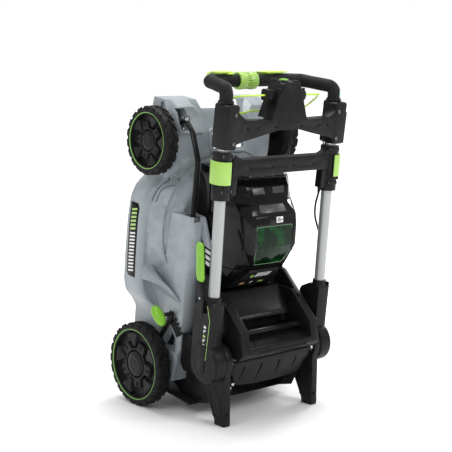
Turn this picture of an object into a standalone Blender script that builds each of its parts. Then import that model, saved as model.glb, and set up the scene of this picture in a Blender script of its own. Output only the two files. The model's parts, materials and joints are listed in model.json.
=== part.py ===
"""Cordless push mower, handle folded over the deck and stood on end for storage.

Everything is laid out in the mowing frame: x to the right, y forward, z up from
the ground, y = 0 at the rear wheel centres. One empty, storage_stand, turns that
frame up on end, so that the mower rests on its rear wheels and two handle feet.
"""
import math

import bmesh
import bpy
from mathutils import Matrix, Vector

# ---------------------------------------------------------------- driving dimensions (metres)
REAR_WHEEL_R = 0.125
FRONT_WHEEL_R = 0.100
REAR_TYRE_WIDTH = 0.050
FRONT_TYRE_WIDTH = 0.046
WHEEL_OUTER_FACE_X = 0.258
WHEELBASE = 0.675
RIM_DEPTH_IN_TYRE = 0.020          # tyre section height
HUB_R = 0.030
SPOKES = 5
STUB_R = 0.006
CRANK_ROD_R = 0.006
CRANK_OFFSET_Y = 0.047             # crank pivot ahead of the wheel centre
CRANK_OFFSET_Z = 0.020             # crank pivot above the rear wheel centre
CRANK_ARM_THICK = 0.005
CRANK_ARM_X = 0.1990               # inner face of the crank arms
LINK_ARM_Y = 0.0245                # link pin ahead of the crank pivot
LINK_ARM_Z = 0.034                 # link pin above the crank pivot
LINK_X = -0.165
LINK_WIDTH = 0.016
LINK_THICK = 0.005
LINK_TOP_Z = 0.229                 # height of the straight run of the link rod

DECK_HALF_WIDTH = 0.249
DECK_NOSE = 0.115                  # deck ahead of the front wheel centres
DECK_FRONT_Y = WHEELBASE + DECK_NOSE
DECK_REAR_Y = -0.030
DECK_BOTTOM_Z = 0.030
DECK_WALL = 0.004
BLADE_TIP_GAP = 0.015
BLADE_LENGTH = 2 * (DECK_HALF_WIDTH - DECK_WALL - BLADE_TIP_GAP)
AXLE_BAY_HALF_WIDTH = 0.194        # deck half width beside the wheels
BLADE_CENTRE_Y = 0.365
BLADE_Z = 0.046
DOME_R = 0.2225
DOME_CENTRE_Y = 0.430
DECK_TOP_Z = 0.200
SHOULDER_RADIUS = 0.016
CREST_Z = 0.166                    # round rib over the blade housing
CREST_INNER = 0.012
CREST_OUTER = 0.055
TRENCH_Z = 0.190                   # low ground between the rib and the motor seat
MOTOR_SEAT_INNER_R = 0.120
MOTOR_SEAT_OUTER_R = 0.185
BUSH_R = 0.0105
BUSH_LENGTH = 0.010
RIDGE_HALF = 0.0265                # raised spine over the link rod
RIDGE_TOP_Z = 0.2515
RIDGE_FRONT_Y = 0.478
RIDGE_WALL = 0.0035
RIDGE_CHAMFER = 0.004
TUNNEL_HALF = LINK_WIDTH / 2 + 0.0115
MOUTH_LOW_Z = 0.2085

COVER_HALF_WIDTH = 0.132
COVER_WALL = 0.004
COVER_REAR_Y = 0.262
LID_REAR_Y = 0.343
LID_FRONT_Y = 0.603
LID_SPLIT_Z = 0.300
LID_HINGE_Z = 0.318

TUBE_X = 0.207                     # handle tube centre
TUBE_R = 0.016
TUBE_WALL = 0.0015
SLIDE_CLEARANCE = 0.0005
SLIDE_TUBE_R = TUBE_R - TUBE_WALL - SLIDE_CLEARANCE
TUBE_SLOPE = math.radians(3.0)     # folded tubes dip towards the front of the deck
TUBE_REF_Y = 0.300
TUBE_REF_Z = 0.4007
LOWER_TUBE_START_Y = 0.215
LOWER_TUBE_END_Y = 0.655
SLIDE_TUBE_START_Y = 0.310
GRIP_WALL = 0.0035
GRIP_R = SLIDE_TUBE_R + GRIP_WALL
GRIP_BAR_Z = 0.256
GRIP_BAR_Y = 0.8705
GRIP_CORNER_X = 0.176
ELBOW_Y = 0.868

KNUCKLE_Y = 0.0956
KNUCKLE_Z = 0.4045
KNUCKLE_R = 0.059
KNUCKLE_INNER_X = 0.1855
KNUCKLE_OUTER_X = 0.2280
BRACKET_INNER_X = 0.1620
BRACKET_OUTER_X = 0.1840
BRACKET_ROOT_Z = 0.2530
FOOT_TIP_Y = -0.0826
FOOT_TIP_Z = 0.4706
FOOT_LENGTH = 0.042

RELEASE_PIN_R = 0.003
LINK_PIN_R = 0.003
PIN_R = 0.007                      # fold pin
PIN_LENGTH = 0.052
HOUSING_LOW_Z = 0.3500             # arm of each knuckle that holds the tube
HOUSING_HIGH_Z = 0.4240
HOUSING_END_Y = 0.2760
COLLAR_WALL = 0.0045
COLLAR_R = TUBE_R + COLLAR_WALL

LOWER_CLAMP_START_Y = 0.565
LOWER_CLAMP_END_Y = 0.697
LOWER_BAR_LOW_Y = 0.632
LOWER_BAR_HIGH_Y = 0.676
BAR_FACE_Z = 0.4045
UPPER_SOCKET_START_Y = 0.706
UPPER_SOCKET_END_Y = 0.828
UPPER_FACE_Z = 0.4110
SWITCH_BOX_TOP_Y = 0.889
CLAMP_INNER_X = 0.1865              # crossbar ends inside the wall of each clamp
CAM_BAND_START_Y = 0.610
CAM_BAND_END_Y = 0.674

BAIL_WIRE_R = 0.0026
BAIL_PIVOT_Y = 0.849
BAIL_PIVOT_Z = 0.378
CABLE_R = 0.003

DOOR_HALF_WIDTH = 0.150
DOOR_HINGE_Y = 0.097
DOOR_HINGE_Z = 0.447
DOOR_ROD_R = 0.003
DOOR_LENGTH = 0.083
CHUTE_HALF_WIDTH = 0.158
CHUTE_FLOOR_Z = 0.2535
FRAME_HALF_WIDTH = 0.150
CARRY_BAR_R = 0.009

GAP = 0.0003                       # between faces that touch
RUNNING = 0.0005                   # between faces that slide or turn
CLEAR = 0.0015                     # between a moving piece and a cover

TYRE_SIDES = 32                    # facets round each tyre
RIM_SIDES = 20                     # facets round each rim
TUBE_SIDES = 16                    # facets round each handle tube and its sockets

# ---------------------------------------------------------------- places worked out from them
REAR_WHEEL_X = WHEEL_OUTER_FACE_X - REAR_TYRE_WIDTH / 2
FRONT_WHEEL_X = WHEEL_OUTER_FACE_X - FRONT_TYRE_WIDTH / 2
REAR_AXLE = Vector((0.0, CRANK_OFFSET_Y, REAR_WHEEL_R + CRANK_OFFSET_Z))
FRONT_AXLE = REAR_AXLE + Vector((0.0, WHEELBASE, FRONT_WHEEL_R - REAR_WHEEL_R))
LINK_ARM = Vector((0.0, LINK_ARM_Y, LINK_ARM_Z))
REAR_LINK_PIN = REAR_AXLE + LINK_ARM
FRONT_LINK_PIN = FRONT_AXLE + LINK_ARM
TUBE_DIRECTION = Vector((0.0, math.cos(TUBE_SLOPE), -math.sin(TUBE_SLOPE)))
KNOB_PLACE = Vector((-0.2552, 0.184, 0.222))
KNOB_R = 0.0165
KNOB_HALF_LENGTH = 0.0340
QUADRANT_OUTER_R = 0.150
QUADRANT_INNER_R = 0.118
NOTCH_DEPTH = 0.014
NOTCHES = 5                        # height settings of the lever
RELEASE_PIVOT = Vector((-0.232, 0.2835, 0.380))


def tube_z(y):
    """Height of the handle tube's centre line at y."""
    return TUBE_REF_Z - (y - TUBE_REF_Y) * math.tan(TUBE_SLOPE)


def storage_lean():
    """Angle past upright at which the rear wheels and the feet both touch the floor."""
    rise = FOOT_TIP_Z - REAR_WHEEL_R
    reach = math.hypot(rise, FOOT_TIP_Y)
    return math.asin(REAR_WHEEL_R / reach) - math.atan2(-FOOT_TIP_Y, rise)


LEAN = storage_lean()


def floor_y(z):
    """The storage floor's y at height z of the mowing frame."""
    return FOOT_TIP_Y - (FOOT_TIP_Z - z) * math.tan(LEAN)


# body: (parent, pivot in the mowing frame)
BODIES = {
    "root": (None, Vector((0.0, 0.0, 0.0))),
    "handle": ("root", Vector((0.0, KNUCKLE_Y, KNUCKLE_Z))),
    "upper_handle": ("handle", Vector((0.0, UPPER_SOCKET_START_Y, tube_z(UPPER_SOCKET_START_Y)))),
    "release_lever": ("handle", RELEASE_PIVOT),
    "cam_lever_left": ("handle", Vector((-0.2385, 0.642, 0.3550))),
    "cam_lever_right": ("handle", Vector((0.2385, 0.642, 0.3550))),
    "power_bail": ("upper_handle", Vector((0.0, BAIL_PIVOT_Y, BAIL_PIVOT_Z))),
    "drive_bail": ("upper_handle", Vector((0.0, 0.8845, 0.2250))),
    "speed_dial": ("upper_handle", Vector((-0.040, GRIP_BAR_Y, GRIP_BAR_Z))),
    "start_button": ("upper_handle", Vector((0.0, SWITCH_BOX_TOP_Y, 0.370))),
    "rear_axle": ("root", REAR_AXLE),
    "front_axle": ("root", FRONT_AXLE),
    "link_rod": ("rear_axle", REAR_LINK_PIN),
    "wheel_rear_left": ("rear_axle", Vector((-REAR_WHEEL_X, 0.0, REAR_WHEEL_R))),
    "wheel_rear_right": ("rear_axle", Vector((REAR_WHEEL_X, 0.0, REAR_WHEEL_R))),
    "wheel_front_left": ("front_axle", Vector((-FRONT_WHEEL_X, WHEELBASE, FRONT_WHEEL_R))),
    "wheel_front_right": ("front_axle", Vector((FRONT_WHEEL_X, WHEELBASE, FRONT_WHEEL_R))),
    "battery_lid": ("root", Vector((0.0, LID_FRONT_Y, LID_HINGE_Z))),
    "rear_door": ("root", Vector((0.0, DOOR_HINGE_Y, DOOR_HINGE_Z))),
    "rotor": ("root", Vector((0.0, BLADE_CENTRE_Y, 0.0))),
}

# finish: (colour, roughness, metallic)
FINISHES = {
    "deck_grey": ((0.34, 0.39, 0.43), 0.45, 0.0),
    "black_plastic": ((0.020, 0.020, 0.021), 0.45, 0.0),
    "gloss_black": ((0.012, 0.012, 0.013), 0.22, 0.0),
    "rubber": ((0.015, 0.015, 0.015), 0.75, 0.0),
    "green_plastic": ((0.28, 0.62, 0.07), 0.42, 0.0),
    "green_wire": ((0.52, 0.80, 0.12), 0.35, 0.0),
    "aluminium": ((0.60, 0.62, 0.62), 0.32, 0.9),
    "steel": ((0.45, 0.45, 0.46), 0.35, 1.0),
    "smoked_green": ((0.01, 0.06, 0.025), 0.12, 0.0),
    "stator": ((0.60, 0.27, 0.13), 0.4, 1.0),
}


# ---------------------------------------------------------------- scene and materials
def clear_scene():
    for thing in list(bpy.data.objects):
        bpy.data.objects.remove(thing)


def make_finish(name):
    colour, roughness, metallic = FINISHES[name]
    material = bpy.data.materials.new(name)
    material.use_nodes = True
    shader = material.node_tree.nodes["Principled BSDF"]
    shader.inputs["Base Color"].default_value = (*colour, 1.0)
    shader.inputs["Roughness"].default_value = roughness
    shader.inputs["Metallic"].default_value = metallic
    return material


def make_empties():
    """One empty per body, on its joint axis, all under the storage stand."""
    stand = bpy.data.objects.new("storage_stand", None)
    bpy.context.collection.objects.link(stand)
    angle = math.pi / 2 + LEAN
    turn = Matrix.Rotation(angle, 4, "X")
    hub = Vector((0.0, 0.0, REAR_WHEEL_R))
    stand.rotation_euler = (angle, 0.0, 0.0)
    stand.location = hub - turn @ hub
    empties = {}
    for body, (parent, pivot) in BODIES.items():
        empty = bpy.data.objects.new("body_" + body, None)
        bpy.context.collection.objects.link(empty)
        empty.parent = stand if parent is None else empties[parent]
        empty.location = pivot if parent is None else pivot - BODIES[parent][1]
        empties[body] = empty
    return stand, empties


def centre_on_origin():
    """Slide the stand over the floor until the model's box is centred on the origin."""
    graph = bpy.context.evaluated_depsgraph_get()
    corners = []
    for thing in bpy.data.objects:
        if thing.type != "EMPTY":
            shape = thing.evaluated_get(graph)
            mesh = shape.to_mesh()
            corners += [shape.matrix_world @ vertex.co for vertex in mesh.vertices]
            shape.to_mesh_clear()
    for index in (0, 1):
        places = [corner[index] for corner in corners]
        STAND.location[index] -= (min(places) + max(places)) / 2


def finish_mesh(bm, name, sharp=35.0):
    bmesh.ops.recalc_face_normals(bm, faces=bm.faces)
    mesh = bpy.data.meshes.new(name)
    bm.to_mesh(mesh)
    bm.free()
    mesh.shade_smooth()
    mesh.set_sharp_from_angle(angle=math.radians(sharp))
    return mesh


def add_node(name, bm, body, finish, sharp=35.0):
    """Make a named node from geometry given in the mowing frame."""
    bmesh.ops.translate(bm, verts=bm.verts, vec=-BODIES[body][1])
    return add_mesh(name, finish_mesh(bm, name, sharp), body, finish)


def add_mesh(name, mesh, body, finish):
    thing = bpy.data.objects.new(name, mesh)
    bpy.context.collection.objects.link(thing)
    thing.parent = EMPTIES[body]
    if not mesh.materials:
        mesh.materials.append(MATERIALS[finish])
    return thing


# ---------------------------------------------------------------- solids
AXES = {"X": 0, "Y": 1, "Z": 2}


def prism(outline, axis, low, high, bevel=0.0):
    """Extrude an outline along an axis; X takes (y, z), Y takes (x, z), Z takes (x, y)."""
    bm = bmesh.new()
    index = AXES[axis]
    corners = []
    for u, v in outline:
        point = [u, v]
        point.insert(index, low)
        corners.append(bm.verts.new(point))
    face = bm.faces.new(corners)
    shift = [0.0, 0.0, 0.0]
    shift[index] = high - low
    result = bmesh.ops.extrude_face_region(bm, geom=[face])
    moved = [item for item in result["geom"] if isinstance(item, bmesh.types.BMVert)]
    bmesh.ops.translate(bm, verts=moved, vec=shift)
    bmesh.ops.recalc_face_normals(bm, faces=bm.faces)
    if bevel:
        bmesh.ops.bevel(bm, geom=bm.edges[:], offset=bevel, segments=1, affect="EDGES")
    return bm


def block(low, high, bevel=0.0):
    outline = [(low[0], low[1]), (high[0], low[1]), (high[0], high[1]), (low[0], high[1])]
    return prism(outline, "Z", low[2], high[2], bevel)


def side_frame(direction):
    """Two unit vectors square to a direction."""
    forward = direction.normalized()
    helper = Vector((1.0, 0.0, 0.0)) if abs(forward.x) < 0.9 else Vector((0.0, 1.0, 0.0))
    side = forward.cross(helper).normalized()
    return side, forward.cross(side).normalized()


def lathe(profile, centre, direction, segments=32):
    """Turn a closed profile of (radius, distance along the axis) about a line."""
    bm = bmesh.new()
    side, other = side_frame(Vector(direction))
    forward = Vector(direction).normalized()
    rings = []
    for step in range(segments):
        angle = 2 * math.pi * step / segments
        radial = side * math.cos(angle) + other * math.sin(angle)
        rings.append([Vector(centre) + forward * along + radial * radius for radius, along in profile])
    made = []
    for ring in rings:
        row = []
        for index, point in enumerate(ring):
            if profile[index][0] == 0.0 and made:
                row.append(made[0][index])
            else:
                row.append(bm.verts.new(point))
        made.append(row)
    count = len(profile)
    for step in range(segments):
        first, second = made[step], made[(step + 1) % segments]
        for index in range(count):
            following = (index + 1) % count
            corners = [first[index], first[following], second[following], second[index]]
            unique = list(dict.fromkeys(corners))
            if len(unique) > 2:
                bm.faces.new(unique)
    bmesh.ops.recalc_face_normals(bm, faces=bm.faces)
    return bm


def rod(start, end, radius, segments=16):
    start, end = Vector(start), Vector(end)
    length = (end - start).length
    return lathe([(0.0, 0.0), (radius, 0.0), (radius, length), (0.0, length)], start, end - start,
                 segments)


def smooth_path(points, steps):
    """Catmull-Rom curve through points, with steps on each stretch."""
    ends = [Vector(p) for p in points]
    ends = [2 * ends[0] - ends[1]] + ends + [2 * ends[-1] - ends[-2]]
    path = []
    for index in range(1, len(ends) - 2):
        a, b, c, d = ends[index - 1:index + 3]
        for step in range(steps):
            t = step / steps
            path.append(0.5 * (2 * b + (c - a) * t + (2 * a - 5 * b + 4 * c - d) * t * t
                               + (3 * b - a - 3 * c + d) * t ** 3))
    path.append(ends[-2])
    return path


def round_corners(points, radius, steps=5):
    """Replace each inner corner of a polyline with an arc of the given radius."""
    path = [Vector(points[0])]
    for before, corner, after in zip(points, points[1:], points[2:]):
        corner = Vector(corner)
        inward = (Vector(before) - corner).normalized()
        outward = (Vector(after) - corner).normalized()
        half = inward.angle(outward) / 2
        if half > math.radians(89.0):
            path.append(corner)
            continue
        cut = radius / math.tan(half)
        centre = corner + (inward + outward).normalized() * (radius / math.sin(half))
        first = (corner + inward * cut - centre).normalized()
        last = (corner + outward * cut - centre).normalized()
        for step in range(steps + 1):
            path.append(centre + first.slerp(last, step / steps) * radius)
    path.append(Vector(points[-1]))
    return path


def sweep(path, outer, inner=0.0, sides=12, closed=False):
    """Round bar (or tube, with an inner radius) along a path, with flat ends."""
    bm = bmesh.new()
    count = len(path)
    tangents = []
    for index in range(count):
        before = path[index - 1] if index or closed else path[0]
        after = path[(index + 1) % count] if index < count - 1 or closed else path[-1]
        tangents.append((after - before).normalized())
    side = side_frame(tangents[0])[0]
    skins = []
    for radius in ([outer, inner] if inner else [outer]):
        current = side
        rows = []
        for point, tangent in zip(path, tangents):
            current = (current - tangent * current.dot(tangent)).normalized()
            other = tangent.cross(current)
            row = []
            for k in range(sides):
                angle = 2 * math.pi * k / sides
                spoke = current * math.cos(angle) + other * math.sin(angle)
                row.append(bm.verts.new(point + spoke * radius))
            rows.append(row)
        skins.append(rows)
        pairs = list(zip(rows, rows[1:])) + ([(rows[-1], rows[0])] if closed else [])
        for first, second in pairs:
            for k in range(sides):
                following = (k + 1) % sides
                bm.faces.new((first[k], first[following], second[following], second[k]))
    if not closed:
        for end in (0, -1):
            if inner:
                for k in range(sides):
                    following = (k + 1) % sides
                    bm.faces.new((skins[0][end][k], skins[0][end][following],
                                  skins[1][end][following], skins[1][end][k]))
            else:
                bm.faces.new(skins[0][end])
    bmesh.ops.recalc_face_normals(bm, faces=bm.faces)
    return bm


def loft(sections):
    """Closed solid through rings of points that all have the same count."""
    bm = bmesh.new()
    rows = [[bm.verts.new(point) for point in section] for section in sections]
    count = len(rows[0])
    for first, second in zip(rows, rows[1:]):
        for k in range(count):
            following = (k + 1) % count
            bm.faces.new((first[k], first[following], second[following], second[k]))
    bm.faces.new(rows[0])
    bm.faces.new(rows[-1])
    bmesh.ops.recalc_face_normals(bm, faces=bm.faces)
    return bm


def arc_points(centre, radius, start, end, steps):
    points = []
    for step in range(steps + 1):
        angle = math.radians(start + (end - start) * step / steps)
        points.append((centre[0] + radius * math.cos(angle), centre[1] + radius * math.sin(angle)))
    return points


def temporary(bm):
    bmesh.ops.triangulate(bm, faces=bm.faces[:], quad_method="FIXED")
    mesh = bpy.data.meshes.new("work")
    bm.to_mesh(mesh)
    bm.free()
    thing = bpy.data.objects.new("work", mesh)
    bpy.context.collection.objects.link(thing)
    return thing


def combine(base, tools, operation):
    """Boolean the tools into the base one after another; every bmesh given is used up."""
    subject = temporary(base)
    for tool in tools:
        cutter = temporary(tool)
        modifier = subject.modifiers.new("Boolean", "BOOLEAN")
        modifier.operation = operation
        modifier.solver = "EXACT"
        modifier.object = cutter
        graph = bpy.context.evaluated_depsgraph_get()
        result = bpy.data.meshes.new_from_object(subject.evaluated_get(graph))
        subject.modifiers.clear()
        subject.data = result
        bpy.data.objects.remove(cutter)
    bm = bmesh.new()
    bm.from_mesh(subject.data)
    bpy.data.objects.remove(subject)
    bmesh.ops.remove_doubles(bm, verts=bm.verts, dist=1e-6)
    rims = [edge for edge in bm.edges if edge.is_boundary]
    if rims:
        bmesh.ops.holes_fill(bm, edges=rims)
    return bm


def fuse(base, *tools):
    return combine(base, tools, "UNION")


def carve(base, *tools):
    return combine(base, tools, "DIFFERENCE")


def common(base, *tools):
    return combine(base, tools, "INTERSECT")


def interpolate(table, x):
    """Straight-line look-up in a short list of (x, value) pairs sorted by x."""
    if x <= table[0][0]:
        return table[0][1]
    for (x0, v0), (x1, v1) in zip(table, table[1:]):
        if x <= x1:
            return v0 + (v1 - v0) * (x - x0) / (x1 - x0)
    return table[-1][1]


def smoothstep(low, high, x):
    t = min(1.0, max(0.0, (x - low) / (high - low)))
    return t * t * (3.0 - 2.0 * t)


# ---------------------------------------------------------------- deck
# plan outline: half width along the deck, from the rear to the front
HALF_WIDTHS = [
    (DECK_REAR_Y, AXLE_BAY_HALF_WIDTH - 0.004), (0.150, AXLE_BAY_HALF_WIDTH),
    (0.176, AXLE_BAY_HALF_WIDTH + 0.016), (0.205, DECK_HALF_WIDTH - 0.012),
    (0.240, DECK_HALF_WIDTH - 0.003),
    (0.320, DECK_HALF_WIDTH), (0.430, DECK_HALF_WIDTH), (0.500, DECK_HALF_WIDTH - 0.008),
    (0.535, DECK_HALF_WIDTH - 0.024), (0.556, AXLE_BAY_HALF_WIDTH + 0.008), (0.566, AXLE_BAY_HALF_WIDTH),
    (WHEELBASE + 0.065, AXLE_BAY_HALF_WIDTH), (DECK_FRONT_Y, AXLE_BAY_HALF_WIDTH - 0.008),
]
# height of the shoulder where the side wall turns into the top
SHOULDERS = [
    (DECK_REAR_Y, 0.225), (0.050, 0.240), (0.110, 0.225), (0.150, 0.185), (0.190, 0.134), (0.240, 0.116),
    (0.320, 0.112), (0.450, 0.112), (0.530, 0.116), (0.566, 0.122), (0.620, 0.140), (WHEELBASE + 0.025, 0.138),
    (WHEELBASE + 0.075, 0.116), (DECK_FRONT_Y, 0.082),
]
MIDDLES = [
    (DECK_REAR_Y, 0.228), (0.110, 0.228), (0.200, DECK_TOP_Z), (0.580, DECK_TOP_Z), (0.640, 0.168),
    (WHEELBASE + 0.025, 0.150), (WHEELBASE + 0.075, 0.126), (DECK_FRONT_Y, 0.090),
]
DECK_STATIONS = [DECK_REAR_Y, 0.050, 0.110, 0.150, 0.176, 0.205, 0.240, 0.280, 0.320, 0.375, 0.430, 0.475,
                 0.500, 0.535, 0.556, 0.566, 0.620, WHEELBASE - 0.015, WHEELBASE + 0.025,
                 WHEELBASE + 0.065, WHEELBASE + 0.090, DECK_FRONT_Y]
TOP_FRACTIONS = (0.94, 0.86, 0.76, 0.64, 0.50, 0.34, 0.17)


def deck_height(x, y, half):
    """Top surface: a slope up from the shoulder to the round blade housing."""
    shoulder = interpolate(SHOULDERS, y)
    middle = interpolate(MIDDLES, y)
    inset = (half - abs(x)) / half
    base = shoulder + (middle - shoulder) * smoothstep(0.05, 0.75, inset)
    radius = math.hypot(x, y - DOME_CENTRE_Y)
    crest = CREST_Z * (1.0 - smoothstep(DOME_R - CREST_INNER, DOME_R + CREST_OUTER, radius))
    seat = 1.0 - smoothstep(MOTOR_SEAT_INNER_R, MOTOR_SEAT_OUTER_R, radius)
    floor = TRENCH_Z + (DECK_TOP_Z - TRENCH_Z) * seat
    dome = crest if radius > DOME_R - CREST_INNER else floor
    return max(base, dome)


def deck_section(y, inset):
    """Closed ring round the deck at y; inset shrinks it to the inner skin."""
    half = interpolate(HALF_WIDTHS, y)
    shoulder = interpolate(SHOULDERS, y)
    bottom = DECK_BOTTOM_Z - (0.02 if inset else 0.0)
    width = half - inset
    right = [(width, bottom), (width, shoulder - SHOULDER_RADIUS - inset),
             (width - 0.3 * SHOULDER_RADIUS, shoulder - 0.3 * SHOULDER_RADIUS - inset),
             (width - SHOULDER_RADIUS, shoulder - inset)]
    span = half - SHOULDER_RADIUS
    for fraction in TOP_FRACTIONS:
        x = span * fraction
        right.append((x, deck_height(x, y, half) - inset))
    middle = [(0.0, deck_height(0.0, y, half) - inset)]
    left = [(-x, z) for x, z in reversed(right)]
    return [(x, z) for x, z in right + middle + left]


def deck_solid(inset):
    sections = []
    for y in DECK_STATIONS:
        place = min(max(y, DECK_REAR_Y + inset), DECK_FRONT_Y - inset)
        sections.append([Vector((x, place, z)) for x, z in deck_section(y, inset)])
    return loft(sections)


def ridge(half, top, front, low_z, bevel):
    """Raised spine over the link rod."""
    outline = [(0.020, low_z), (0.020, top - 0.030), (0.075, top), (front, top), (front, low_z)]
    return prism(outline, "X", LINK_X - half, LINK_X + half, bevel)


def build_deck():
    shell = fuse(deck_solid(0.0), ridge(RIDGE_HALF, RIDGE_TOP_Z, RIDGE_FRONT_Y, 0.120, RIDGE_CHAMFER))
    tunnel = ridge(TUNNEL_HALF, RIDGE_TOP_Z - RIDGE_WALL, RIDGE_FRONT_Y - RIDGE_WALL, 0.100, 0.0)
    mouth = block((LINK_X - TUNNEL_HALF, RIDGE_FRONT_Y - 0.010, MOUTH_LOW_Z),
                  (LINK_X + TUNNEL_HALF, RIDGE_FRONT_Y + 0.010, RIDGE_TOP_Z - RIDGE_WALL))
    shell = carve(shell, deck_solid(DECK_WALL), tunnel, mouth)
    holes = []
    for axle in (REAR_AXLE, FRONT_AXLE):
        holes.append(rod((-0.3, axle.y, axle.z), (0.3, axle.y, axle.z), BUSH_R + GAP))
    holes.append(rod((0.0, BLADE_CENTRE_Y, 0.1), (0.0, BLADE_CENTRE_Y, 0.3), 0.030, 24))
    slot_x = LINK_X + LINK_WIDTH / 2
    holes.append(block((LINK_X - 0.012, FRONT_AXLE.y - 0.012, 0.085),
                       (slot_x + 0.010, FRONT_LINK_PIN.y + 0.024, 0.3)))
    holes.append(block((-0.055, 0.655, 0.060), (0.055, 0.700, 0.300)))
    holes.append(block((-CHUTE_HALF_WIDTH + 0.006, DECK_REAR_Y - 0.05, 0.060),
                       (CHUTE_HALF_WIDTH - 0.006, 0.080, 0.210)))
    add_node("deck_shell", carve(shell, *holes), "root", "deck_grey")


def build_bushes():
    """Axle bushes in the deck walls."""
    for end, axle in (("rear", REAR_AXLE), ("front", FRONT_AXLE)):
        half = interpolate(HALF_WIDTHS, axle.y)
        for side, sign in (("left", -1), ("right", 1)):
            profile = [(CRANK_ROD_R + RUNNING, 0.0), (BUSH_R, 0.0), (BUSH_R, BUSH_LENGTH),
                       (CRANK_ROD_R + RUNNING, BUSH_LENGTH)]
            start = Vector((sign * (half + 0.001), axle.y, axle.z))
            add_node(f"axle_bush_{end}_{side}", lathe(profile, start, (-sign, 0, 0), 16), "root",
                     "black_plastic")


# ---------------------------------------------------------------- wheels and height linkage
def wheel_meshes(radius, width):
    """Tyre and rim about the x axis, outer face towards +x."""
    half = width / 2
    seat = radius - RIM_DEPTH_IN_TYRE
    tyre = [(seat, -half + 0.003), (radius - 0.010, -half), (radius, -half + 0.010),
            (radius, half - 0.010),
            (radius - 0.010, half), (seat, half - 0.003)]
    tyre_mesh = finish_mesh(lathe(tyre, (0, 0, 0), (1, 0, 0), TYRE_SIDES), "tyre", 50.0)
    lip = seat * math.cos(math.pi / TYRE_SIDES) - GAP
    wheel = [(STUB_R + RUNNING, -half + 0.001), (HUB_R - 0.008, -half + 0.001), (HUB_R - 0.008, -0.003),
             (lip - 0.010, -0.003), (lip - 0.009, -half + 0.004), (lip, -half + 0.004),
             (lip, half - 0.004),
             (lip - 0.005, half - 0.004), (lip - 0.009, half - 0.010), (HUB_R, half - 0.012),
             (HUB_R - 0.004, half - 0.002), (0.0, half - 0.0005), (0.0, half - 0.008),
             (STUB_R + RUNNING, half - 0.008)]
    pockets = []
    for index in range(SPOKES):
        middle = 360.0 * (index + 0.5) / SPOKES
        outline = arc_points((0, 0), lip - 0.013, middle - 25, middle + 25, 3)
        outline += arc_points((0, 0), HUB_R + 0.004, middle + 16, middle - 16, 1)
        pockets.append(prism(outline, "X", 0.0013, half))
    rim = carve(lathe(wheel, (0, 0, 0), (1, 0, 0), RIM_SIDES), *pockets)
    return tyre_mesh, finish_mesh(rim, "rim", 30.0)


def build_wheels():
    for end, radius, width in (("rear", REAR_WHEEL_R, REAR_TYRE_WIDTH),
                               ("front", FRONT_WHEEL_R, FRONT_TYRE_WIDTH)):
        tyre, rim = wheel_meshes(radius, width)
        for side, turn in (("left", math.pi), ("right", 0.0)):
            body = f"wheel_{end}_{side}"
            for kind, mesh, finish in (("tyre", tyre, "rubber"), ("rim", rim, "black_plastic")):
                piece = add_mesh(f"{kind}_{end}_{side}", mesh, body, finish)
                piece.rotation_euler = (0.0, 0.0, turn)


def crank(pivot, hub, stub_end):
    """Cross rod, two arms, two stub axles and the arm that takes the link rod."""
    far = CRANK_ARM_X + CRANK_ARM_THICK
    bm = rod((-far, pivot.y, pivot.z), (far, pivot.y, pivot.z), CRANK_ROD_R)
    arm = hub - pivot
    across = Vector((0.0, -arm.z, arm.y)).normalized() * 0.009
    corners = [pivot - arm * 0.22 + across, pivot - arm * 0.22 - across, hub + arm * 0.22 - across,
               hub + arm * 0.22 + across]
    outline = [(c.y, c.z) for c in corners]
    pieces = []
    for sign in (-1, 1):
        faces = sorted((sign * CRANK_ARM_X, sign * far))
        pieces.append(prism(outline, "X", faces[0], faces[1]))
        pieces.append(rod((sign * CRANK_ARM_X, hub.y, hub.z), (sign * stub_end, hub.y, hub.z), STUB_R))
    pin = pivot + LINK_ARM
    along = LINK_ARM.normalized() * 0.007
    wide = Vector((0.0, -LINK_ARM.z, LINK_ARM.y)).normalized() * 0.006
    corners = [pivot - along + wide, pivot - along - wide, pin + along - wide, pin + along + wide]
    plate_low = LINK_X + LINK_WIDTH / 2 + RUNNING
    pieces.append(prism([(c.y, c.z) for c in corners], "X", plate_low, plate_low + 0.004))
    pin_end = LINK_X - LINK_WIDTH / 2 - 0.002
    pieces.append(rod((plate_low + 0.001, pin.y, pin.z), (pin_end, pin.y, pin.z), LINK_PIN_R, 12))
    return fuse(bm, *pieces)


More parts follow.
